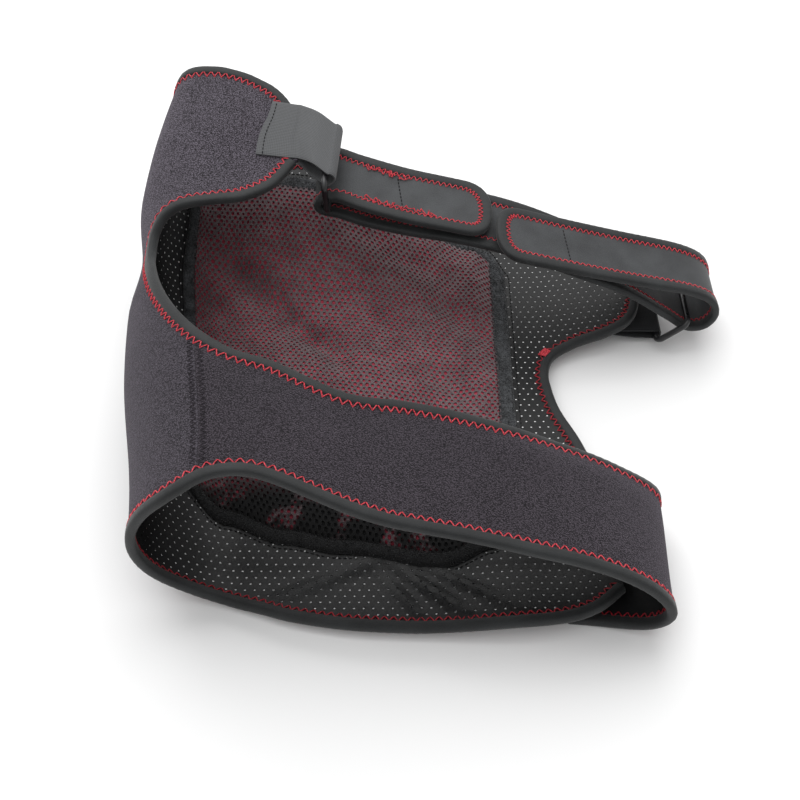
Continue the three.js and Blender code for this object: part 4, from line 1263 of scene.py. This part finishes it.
@dataclass
class Pocket:
    """Bulging two-layer net inside the back, framed by plush tape."""

    right: float = -65.0
    left: float = 134.0
    tape: float = 9.5
    tape_thick: float = 1.9
    bulge: float = 15.0
    base: float = 2.7
    cell_across: float = 3.3
    cell_along: float = 2.85
    hole: tuple[float, float] = (0.5, 0.7)
    hole_spread: tuple[float, float] = (0.78, 1.18)
    hole_shift: float = 0.05
    zig: float = 0.14
    net_long: float = 245.0
    net_thick: float = 0.55
    backing_sink: float = 0.75
    backing_thick: float = 0.4
    backing_steps: tuple[int, int] = (70, 84)
    under_tape: float = 2.0
    pillow_power: float = 0.7
    pillow_lean: float = 0.85
    pillow_soft: float = 6.0
    tape_shares: tuple[float, ...] = (0, 0.06, 0.2, 0.4, 0.6, 0.8, 0.94, 1)
    tape_dome: tuple[float, ...] = (0.25, 0.62, 0.92, 1.0, 1.0, 0.95, 0.75, 0.4)
    tape_on: float = 0.25
    tape_foot: float = 0.02
    tape_opened: float = 1.15
    tape_long: float = 0.84
    pile: int = 9000
    pile_columns: tuple[float, float] = (0.3, 6.7)
    pile_lean: float = 0.55
    pile_reach: tuple[float, float] = (1.0, 2.2)
    pile_wide: float = 0.16
    pile_thick: float = 0.1
    pile_root: float = 0.2
    stitch_off: float = -2.6
    stitch_on: float = 0.15
    cloth: float = 2.6
    foot: Curve = Curve((-65, -59.5, -49, -24, 31, 60, 92, 114, 134), (-52, -66, -78, -87, -78, -72, -60, -42, -16))
    head: Curve = Curve((-65, -57.5, -44, -10, 40, 90, 134), (126, 143, 155, 167, 175, 180, 180))
    creases: tuple[tuple[float, ...], ...] = (
        (104, 118, 34, 52, 5, 9), (-30, 96, -52, 72, 6, 10), (30, 150, -30, 118, 4, 12),
        (70, 96, 20, 20, 1.6, 5), (112, 60, 60, -10, 2.0, 8), (-20, 40, -50, 10, 2.2, 7),
    )

    def net(self, s: Array, t: Array, inset: float) -> Array:
        """Flat place on the pocket: s across from right to left, t from foot to head, drawn in by an inset."""
        run = mix(self.right + inset, self.left - inset, s)
        return pairs(run, mix(self.foot(run) + inset, self.head(run) - inset, t))

    def height(self, flat: Array, s: Array, t: Array) -> Array:
        """Bulge of the net: a pillow of two sines to a power, less pressed creases with bell profiles, mm."""
        s, t = np.clip(s, 0, 1), np.clip(t, 0, 1)
        power, lean = self.pillow_power, self.pillow_lean
        pillow = self.bulge * np.sin(np.pi * s) ** power * np.sin(np.pi * t**lean) ** power
        dents = np.zeros_like(pillow)
        for a0, y0, a1, y1, depth, width in self.creases:
            start, line = np.array([a0, y0]), np.array([a1 - a0, y1 - y0])
            share = np.clip(((flat - start) @ line) / (line @ line), 0, 1)
            off = np.linalg.norm(flat - start - share[..., None] * line, axis=-1) / width
            dents += depth * np.exp(-off * off)
        return pillow - dents * np.clip(pillow / self.pillow_soft, 0, 1)

    def on_lining(self, flat: Array, lift: Array) -> tuple[Array, Array]:
        """Points lifted off the lining side of the wrap, and the direction off it."""
        p, n, _, _ = WRAP.frame(WRAP.station(flat[..., 0], flat[..., 1]), flat[..., 1])
        return p - n * np.asarray(lift)[..., None], -n

    def layer(self, s: Array, t: Array, faces: Array, sink: float, thick: float) -> MeshData:
        """Layer of the net over a set of flat places, with normals from its own slopes."""
        inset = self.tape - self.under_tape

        def place(s1: Array, t1: Array) -> Array:
            """Points of the layer."""
            flat = self.net(s1, t1, inset)
            return self.on_lining(flat, self.base - sink + self.height(flat, s1, t1))[0]

        step = 2e-3
        along = place(s + step, t) - place(s - step, t)
        across = place(s, t + step) - place(s, t - step)
        normal = unit(np.cross(along, across))
        return thicken(place(s, t), normal, [faces], thick / 2, -thick / 2)

    def mesh(self) -> None:
        """Builds the net, a honeycomb of threads round six-cornered holes, and the red layer behind it."""
        columns = int((self.left - self.right - 2 * (self.tape - self.under_tape)) / self.cell_across)
        rows = int(self.net_long / self.cell_along)
        i, j = (a.reshape(-1, 1) for a in np.meshgrid(np.arange(columns), np.arange(rows), indexing="ij"))
        corner_x = np.array([0, 0.5, 1, 1, 0.5, 0])[None] + i + 0.5 * (j % 2)
        corner_y = np.array([0, 0, 0, 1, 1, 1])[None] + j + self.zig * np.array([1, -1, 1, -1, 1, -1])[None]
        corners = pairs(corner_x, corner_y)
        middle = corners.mean(axis=1, keepdims=True)
        dice = np.random.default_rng(5)
        wide = np.array(self.hole) * dice.uniform(*self.hole_spread, (len(corners), 1, 1))
        shift = dice.uniform(-self.hole_shift, self.hole_shift, (len(corners), 1, 2))
        holes = middle + (corners - middle) * wide + shift
        outer, back = np.unique(np.round(corners.reshape(-1, 2), 4), axis=0, return_inverse=True)
        outer_index = back.reshape(-1, 6)
        hole_index = len(outer) + np.arange(holes.shape[0] * 6).reshape(-1, 6)
        faces = np.stack([outer_index, np.roll(outer_index, -1, 1), np.roll(hole_index, -1, 1), hole_index], axis=-1)
        flat = np.concatenate([outer, holes.reshape(-1, 2)])
        s, t = flat[:, 0] / (columns + 0.5), flat[:, 1] / rows
        net_mesh = self.layer(s, t, faces.reshape(-1, 4), 0.0, self.net_thick)
        net = put("net", net_mesh, [Look.NET], 60)
        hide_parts("mesh_pocket")
        shares = [np.linspace(0, 1, steps) for steps in self.backing_steps]
        s, t = (a.ravel() for a in np.meshgrid(*shares, indexing="ij"))
        backing_faces = grid_faces(grid_index(*self.backing_steps))
        backing_mesh = self.layer(s, t, backing_faces, self.backing_sink, self.backing_thick)
        backing = put("net_backing", backing_mesh, [Look.BACKING])
        flat_area(net_mesh)
        flat_area(backing_mesh)

    def round_path(self, count: int = 620) -> tuple[Array, Array]:
        """Way round the pocket: along the foot, up the left side, back along the head and down the right."""
        side = np.linspace(0, 1, count // 4, endpoint=False)
        zero, one = np.zeros_like(side), np.ones_like(side)
        return np.concatenate([side, one, 1 - side, zero]), np.concatenate([zero, side, one, 1 - side])

    def hollow(self) -> Array:
        """Outline that the lining leaves free under the pocket."""
        s, t = self.round_path(320)
        return self.net(s, t, self.tape - 1.0)

    def trim(self) -> None:
        """Builds the plush tape: a domed strip round the pocket with short pile, and a stitched line outside it."""
        s, t = self.round_path()
        outside, within = self.net(s, t, 0.0), self.net(s, t, self.tape)
        flat = mix(outside[:, None], within[:, None], np.array(self.tape_shares)[None, :, None])
        crown = self.cloth / 2 + self.tape_on + self.tape_thick * np.array(self.tape_dome)
        top, up = self.on_lining(flat, np.broadcast_to(crown, flat.shape[:2]))
        low, _ = self.on_lining(flat[:, [7, 5, 2, 0]], np.full((len(s), 4), self.cloth / 2 + self.tape_foot))
        strip = profile_along(np.concatenate([top, low], axis=1), True)
        plush = put("plush_trim", strip.joined([self.blades(top, up)]), [Look.PLUSH])
        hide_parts("pocket_trim")
        line, off = self.on_lining(self.net(s, t, self.stitch_off), np.full(len(s), self.cloth / 2 + self.stitch_on))
        stitches = put("pocket_stitches", dashes(line, off, 2.0, 0.9, 0.28), [Look.BLACK])
        self.tape * MM * self.tape_opened

    def blades(self, top: Array, up: Array) -> MeshData:
        """Pile of the tape: slim four-sided blades that lean at random.

        Args:
            top: Crown of the tape, as steps by corners by 3, mm.
            up: Direction off the lining at each point.

        Returns:
            The blades.
        """
        dice = np.random.default_rng(7)
        row, column = dice.integers(0, len(top), self.pile), dice.uniform(*self.pile_columns, self.pile)
        low_column = column.astype(int)
        root = mix(top[row, low_column], top[row, low_column + 1], (column - low_column)[:, None])
        lean = dice.normal(size=(self.pile, 3)) * self.pile_lean
        reach = dice.uniform(*self.pile_reach, (self.pile, 1))
        rise = up[row, low_column]
        tip = root + unit(rise + lean) * reach
        wide = unit(np.cross(lean, rise)) * self.pile_wide
        thick = unit(np.cross(wide, tip - root)) * self.pile_thick
        root = root - rise * self.pile_root
        corners = np.stack([root - wide, root + wide, root + thick * 2, tip], axis=1)
        number = np.arange(self.pile)[:, None] * 4
        tri = np.concatenate([number + np.array(f) for f in ((0, 1, 3), (1, 2, 3), (2, 0, 3), (0, 2, 1))])
        return MeshData(corners.reshape(-1, 3), [tri])


@dataclass
class StrapSet:
    """Strap that passes both rings, its tape and threads, the webbings and the rings."""

    edging: Edging = Edging(cloth=2.2, reach=5.0, proud=1.0, rim=1.4, pucker=0.1, zigzag_in=2.0, zigzag_on=0.8,
                            pitch=3.5, thread=0.28)
    length: float = 0.515
    cross: tuple[tuple[float, float], ...] = ((2.15, 0.06), (23.25, 0.05))
    cross_half: float = 12.5
    cross_on: float = 0.08
    tangles: tuple[tuple[float, ...], ...] = ((-1, 1.4, 2.95), (1, 1.95, 2.85))
    tangle_steps: int = 144
    tangle_in: float = 7.6
    tangle_wander: float = 2.3
    tangle_jump: float = 0.055
    tangle_on: float = 0.75
    tangle_radius: float = 0.32
    webbing_width: float = 39.0
    webbing: float = 1.4
    bar: float = 3.6
    ring_inner: float = 47.0
    ring_span: float = 22.0
    ring_corner: float = 4.0
    left_tilt: float = 10.0
    left_bars: tuple[tuple[float, ...], ...] = ((-42, 138.5, 75.5), (-43, 134.7, 97.2))
    left_loop: tuple[float, ...] = (-42, 136.5, 96)
    left_radius: float = 4.8
    left_arch: float = 2.2
    left_sag: float = 3.2
    left_skew: float = 3.2
    left_start: tuple[float, float] = (1.1, 1.14)
    left_end: float = 1.234
    left_y: float = 148.5
    left_on: float = 0.3
    right_bars: tuple[tuple[float, ...], ...] = ((153.2, 97, 7.6), (169.5, 97, 22.4))
    right_sewn: tuple[float, ...] = (96.0, 105.0, 114.0)
    right_out: tuple[tuple[float, float], ...] = ((126, 10.5), (140, 10.6))
    right_back: tuple[tuple[float, float], ...] = ((140, 5.6), (126, 8.0))
    right_gap: float = 0.4
    places_across: int = 7
    fine_across: int = 31

    def strap(self) -> None:
        """Builds the strap cloth, its tape all round, its zigzags, cross seams and tangled second thread."""
        k = np.concatenate([np.linspace(0, 0.9, 14)[1:] ** 1.6, np.linspace(0.95, STRAP.last - 0.95, 230)])
        k = np.concatenate([k, (STRAP.last - k[:13])[::-1]])
        w = np.linspace(-1, 1, 13)
        places = pairs(k[:, None], w[None] * STRAP.half(k)[:, None])
        p, n, _, _ = STRAP.frame(*places.reshape(-1, 2).T)
        mesh = thicken(p, n, [grid_faces(grid_index(*places.shape[:2]))], STRAP.cloth / 2, -STRAP.cloth / 2)
        piece = put("strap_cloth", mesh, [Look.STRAP])
        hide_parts("strap")
        tip = np.linspace(0.03, 1, 60) ** 2
        run = np.concatenate([tip, np.linspace(1.01, STRAP.last - 1.01, 700), (STRAP.last - tip)[::-1]])
        edge = np.concatenate([pairs(run, -STRAP.half(run)), pairs(run, STRAP.half(run))[::-1]])
        path = EdgePath(STRAP, edge, True, 2.0)
        tape = put("tape_strap", self.edging.tape(path), [Look.TAPE])
        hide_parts("strap_binding")
        threads = self.edging.zigzag(path, 1).joined([self.edging.zigzag(path, -1)])
        zigzag = put("zigzag_strap", threads, [Look.RED, Look.RED])
        cross = put("strap_seams", self.cross_seams(), [Look.BLACK])
        tangle = put("strap_tangle", self.tangle(), [Look.RED])

    def cross_seams(self) -> MeshData:
        """Straight stitch rows across both folded tails."""
        rows = []
        w = np.linspace(-self.cross_half, self.cross_half, 60)
        for k, lean in self.cross:
            p, n, _, _ = STRAP.frame(k + lean * w / self.cross_half, w)
            rows.append(dashes(p - n * (STRAP.cloth / 2 + self.cross_on), -n, 2.0, 0.7, 0.3))
        return rows[0].joined(rows[1:])

    def tangle(self) -> MeshData:
        """Loose second thread near the left ring: a wavering line sewn over the zigzag on both edges."""
        dice = np.random.default_rng(11)
        strands, ups = [], []
        count = self.tangle_steps
        for edge, first, last in self.tangles:
            k = np.linspace(first, last, count)
            wander, jump = (np.interp(np.arange(count), np.arange(0, count, every), dice.uniform(-1, 1, count // every))
                            for every in (3, 4))
            w = edge * (STRAP.width / 2 - self.tangle_in - self.tangle_wander * wander)
            p, n, _, _ = STRAP.frame(k + self.tangle_jump * jump, w)
            strands.append(p - n * (STRAP.cloth / 2 + self.tangle_on))
            ups.append(-n)
        return tubes(np.stack(strands), np.stack(ups), self.tangle_radius, 4)

    def ring(self, name: str, bars: tuple[tuple[float, ...], ...], tilt: float) -> None:
        """Builds a ring: a round bar carried round an oblong with rounded corners.

        Args:
            name: CAD node that it stands for.
            bars: Centres of the two long bars.
            tilt: Lean of the long bars off level, degrees.
        """
        low, high = np.array(bars, float)
        long = np.array([0, math.cos(math.radians(tilt)), math.sin(math.radians(tilt))])
        short = unit((high - low) - long * ((high - low) @ long))
        half = np.array([(self.ring_inner + self.bar) / 2, self.ring_span / 2]) - self.ring_corner
        signs = np.array([[1, 1], [-1, 1], [-1, -1], [1, -1]])[np.repeat(np.arange(4), 12)]
        turn = np.repeat(np.arange(4), 12) * np.pi / 2 + np.tile(np.linspace(0, np.pi / 2, 12), 4)
        flat = signs * half + self.ring_corner * pairs(np.cos(turn), np.sin(turn))
        around = np.concatenate([flat, flat[:1]])
        length = lengths(around)
        fine = np.unique(np.concatenate([length[:-1], np.linspace(0, length[-1], 120, endpoint=False)]))
        flat = read(around, length, fine)
        line = (low + high) / 2 + flat[:, :1] * long + flat[:, 1:] * short
        ups = np.broadcast_to(np.cross(short, long), line.shape)
        piece = put(name.replace("ring", "oblong_ring"), tubes(line[None], ups[None], self.bar / 2, 16, True),
                    [Look.PLASTIC])
        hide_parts(name)

    def ribbon(self, name: str, rows: Array, look: Look) -> None:
        """Builds a webbing: control rows made smooth along the strip, with a thin rounded edge.

        Args:
            name: CAD node that it stands for.
            rows: Control rows, as steps by places across by 3, mm.
            look: Its finish.
        """
        steps = np.arange(len(rows))
        fine = np.linspace(0, len(rows) - 1, 6 * (len(rows) - 1) + 1)
        smooth = np.stack([np.stack([Curve(tuple(steps), tuple(c))(fine) for c in place.T], axis=-1)
                           for place in rows.transpose(1, 0, 2)], axis=1)
        across = np.linspace(0, rows.shape[1] - 1, self.fine_across)
        low = np.minimum(across.astype(int), rows.shape[1] - 2)
        grid = mix(smooth[:, low], smooth[:, low + 1], (across - low)[None, :, None])
        ahead, wide = np.gradient(grid, axis=0), np.gradient(grid, axis=1)
        normal = unit(np.cross(ahead, wide))
        run = lengths(grid[:, self.fine_across // 2])
        place = across / (rows.shape[1] - 1) * self.webbing_width
        uv = pairs(place[None], run[:, None]).reshape(-1, 2)
        edge = np.minimum(place, self.webbing_width - place)
        thick = np.broadcast_to(self.webbing / 2 * np.clip(0.55 + edge / 1.6, 0, 1), grid.shape[:2]).ravel()
        faces = grid_faces(grid_index(*grid.shape[:2]))
        mesh = thicken(grid.reshape(-1, 3), normal.reshape(-1, 3), [faces], thick, -thick, uv)
        piece = put(name.replace("webbing", "elastic"), mesh, [look])
        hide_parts(name)

    def round_bar(self, bar: Array, radius: float, up: Array, wide: Array, start: float, across: Array) -> Array:
        """Rows round a bar, from its upper side over its right side to its lower side."""
        turn = np.linspace(start, -start, 9)[:, None, None]
        out = np.array([1.0, 0, 0])
        return bar + radius * (out * np.cos(turn) + up * np.sin(turn)) + wide * across[None, :, None]

    def across(self) -> Array:
        """Places across a webbing, from edge to edge, mm."""
        return np.linspace(-0.5, 0.5, self.places_across) * self.webbing_width

    def left_webbing(self) -> None:
        """Builds the left webbing: two layers sewn on the flap, joined by a loop round a bar of the ring."""
        across = self.across()
        share = across / self.webbing_width + 0.5
        tilt = math.radians(self.left_tilt)
        wide = np.array([0, math.cos(tilt), math.sin(tilt)])
        up = np.cross([1.0, 0, 0], wide)
        lift = WRAP.cloth / 2 + self.left_on + self.webbing / 2
        q = mix(mix(*self.left_start, share)[None], self.left_end, np.linspace(0, 1, 6)[:, None])
        p, n, _, _ = WRAP.frame(q, np.broadcast_to(self.left_y + across * math.cos(tilt), q.shape))
        loop = self.round_bar(np.array(self.left_loop, float), self.left_radius, up, wide, 1.5, across)
        loop = loop + np.array([1.0, 0, 0]) * (self.left_skew * share)[None, :, None]
        over, under = p + n * lift, (p - n * lift)[::-1]
        arch = mix(over[-1:], loop[:1], 0.5) + up * self.left_arch
        sag = mix(loop[-1:], under[:1], 0.55) - up * self.left_sag
        rows = np.concatenate([over, arch, loop, sag, under])
        self.ribbon("webbing_left", rows, Look.ELASTIC)
        self.tack(p + n * (lift + self.webbing / 2 + 0.1), n)

    def right_webbing(self) -> None:
        """Builds the right webbing: two layers under the wing, joined by a loose run round a bar of the ring."""
        across = self.across()
        bar = np.array(self.right_bars[0], float)
        y = bar[1] + across
        x = np.array(self.right_sewn)[:, None]
        q = WRAP.station(-x, y[None])
        p, n, _, _ = WRAP.frame(q, np.broadcast_to(y, q.shape))
        first = WRAP.cloth / 2 + self.right_gap + self.webbing / 2
        second = first + self.webbing + self.right_gap
        out, back = ([np.stack(np.broadcast_arrays(float(x), y, float(z)), axis=-1)[None] for x, z in run]
                     for run in (self.right_out, self.right_back))
        up, wide = np.array([0, 0, 1.0]), np.array([0, 1.0, 0])
        loop = self.round_bar(bar, self.bar / 2 + 0.3 + self.webbing / 2, up, wide, 1.4, across)
        rows = np.concatenate([p + n * first, *out, loop, *back, (p + n * second)[::-1]])
        self.ribbon("webbing_right", rows, Look.ELASTIC_BLACK)

    def tack(self, p: Array, n: Array) -> None:
        """Builds the stitch row that holds the left webbing, a little inside its sewn end."""
        line = mix(p[0], p[1], 0.75)
        fine = np.linspace(0, len(line) - 1, 90)
        place, off = (read(part, np.arange(len(line)), fine) for part in (line, n[0]))
        put("webbing_stitches", dashes(place, unit(off), 1.9, 0.7, 0.26), [Look.BLACK])


@dataclass(frozen=True)
class Studio:
    """Pale floor, soft lights and the camera."""

    aim: tuple[float, float, float] = (-0.01827, -0.03261, 0.035)
    distance: float = 0.65
    elevation: float = 48.0
    lens: float = 54.17
    sensor: float = 36.0
    sky: float = 0.62
    floor_half: float = 3.0
    floor_z: float = -0.0004
    lights: tuple[tuple[str, tuple[float, float, float], float, float], ...] = (
        ("key", (-0.25, 0.9, 1.6), 2.2, 33), ("fill", (-0.2, -0.6, 1.7), 1.8, 6),
    )

    def build(self) -> None:
        """Places the camera, floor and lights."""
        rise = math.radians(self.elevation)
        camera = bpy.data.objects.new("camera", bpy.data.cameras.new("camera"))
        camera.data.lens, camera.data.sensor_width = self.lens, self.sensor
        camera.location = Vector(self.aim) + self.distance * Vector((0, -math.cos(rise), math.sin(rise)))
        camera.rotation_euler = (math.pi / 2 - rise, 0, 0)
        bpy.context.scene.collection.objects.link(camera)
        bpy.context.scene.camera = camera
        self.floor()
        for light in self.lights:
            self.light(*light)
        world = bpy.data.worlds.new("studio")
        world.use_nodes = True
        background = world.node_tree.nodes["Background"]
        background.inputs[0].default_value = (1, 1, 1, 1)
        background.inputs[1].default_value = self.sky
        bpy.context.scene.world = world
        bpy.context.scene.view_settings.view_transform = "Standard"

    def floor(self) -> None:
        """Large pale floor just under the brace."""
        size = self.floor_half
        data = bpy.data.meshes.new("floor")
        corners = ((-size, -size), (size, -size), (size, size), (-size, size))
        data.from_pydata([(x, y, self.floor_z) for x, y in corners], [], [(0, 1, 2, 3)])
        tree = Tree("floor_pale")
        tint = tree.between((0.9, 0.9, 0.9), (0.93, 0.93, 0.93), tree.noise(3, 2))
        data.materials.append(tree.close({"Base Color": tint, "Roughness": 0.9}))
        floor = bpy.data.objects.new("floor", data)
        bpy.context.scene.collection.objects.link(floor)

    def light(self, name: str, place: tuple[float, float, float], size: float, power: float) -> None:
        """Square soft light aimed at the brace.

        Args:
            name: Name of the light.
            place: Where it hangs, metres.
            size: Side of the square, metres.
            power: Watts.
        """
        lamp = bpy.data.lights.new(name, "AREA")
        lamp.size, lamp.energy = size, power
        holder = bpy.data.objects.new(name, lamp)
        holder.location = place
        holder.rotation_euler = (Vector(self.aim) - Vector(place)).to_track_quat("-Z", "Y").to_euler()
        bpy.context.scene.collection.objects.link(holder)


def main() -> None:
    """Builds the brace and its studio."""
    logging.basicConfig(level=logging.INFO, format="%(name)s %(message)s")
    Studio().build()
    shell, pocket, straps = Shell(), Pocket(), StrapSet()
    shell.body()
    shell.lining(pocket.hollow())
    shell.band()
    shell.tapes()
    shell.seam()
    pocket.mesh()
    pocket.trim()
    straps.strap()
    straps.ring("ring_left", straps.left_bars, straps.left_tilt)
    straps.ring("ring_right", straps.right_bars, 0.0)
    straps.left_webbing()
    straps.right_webbing()


if __name__ == "__main__":
    main()
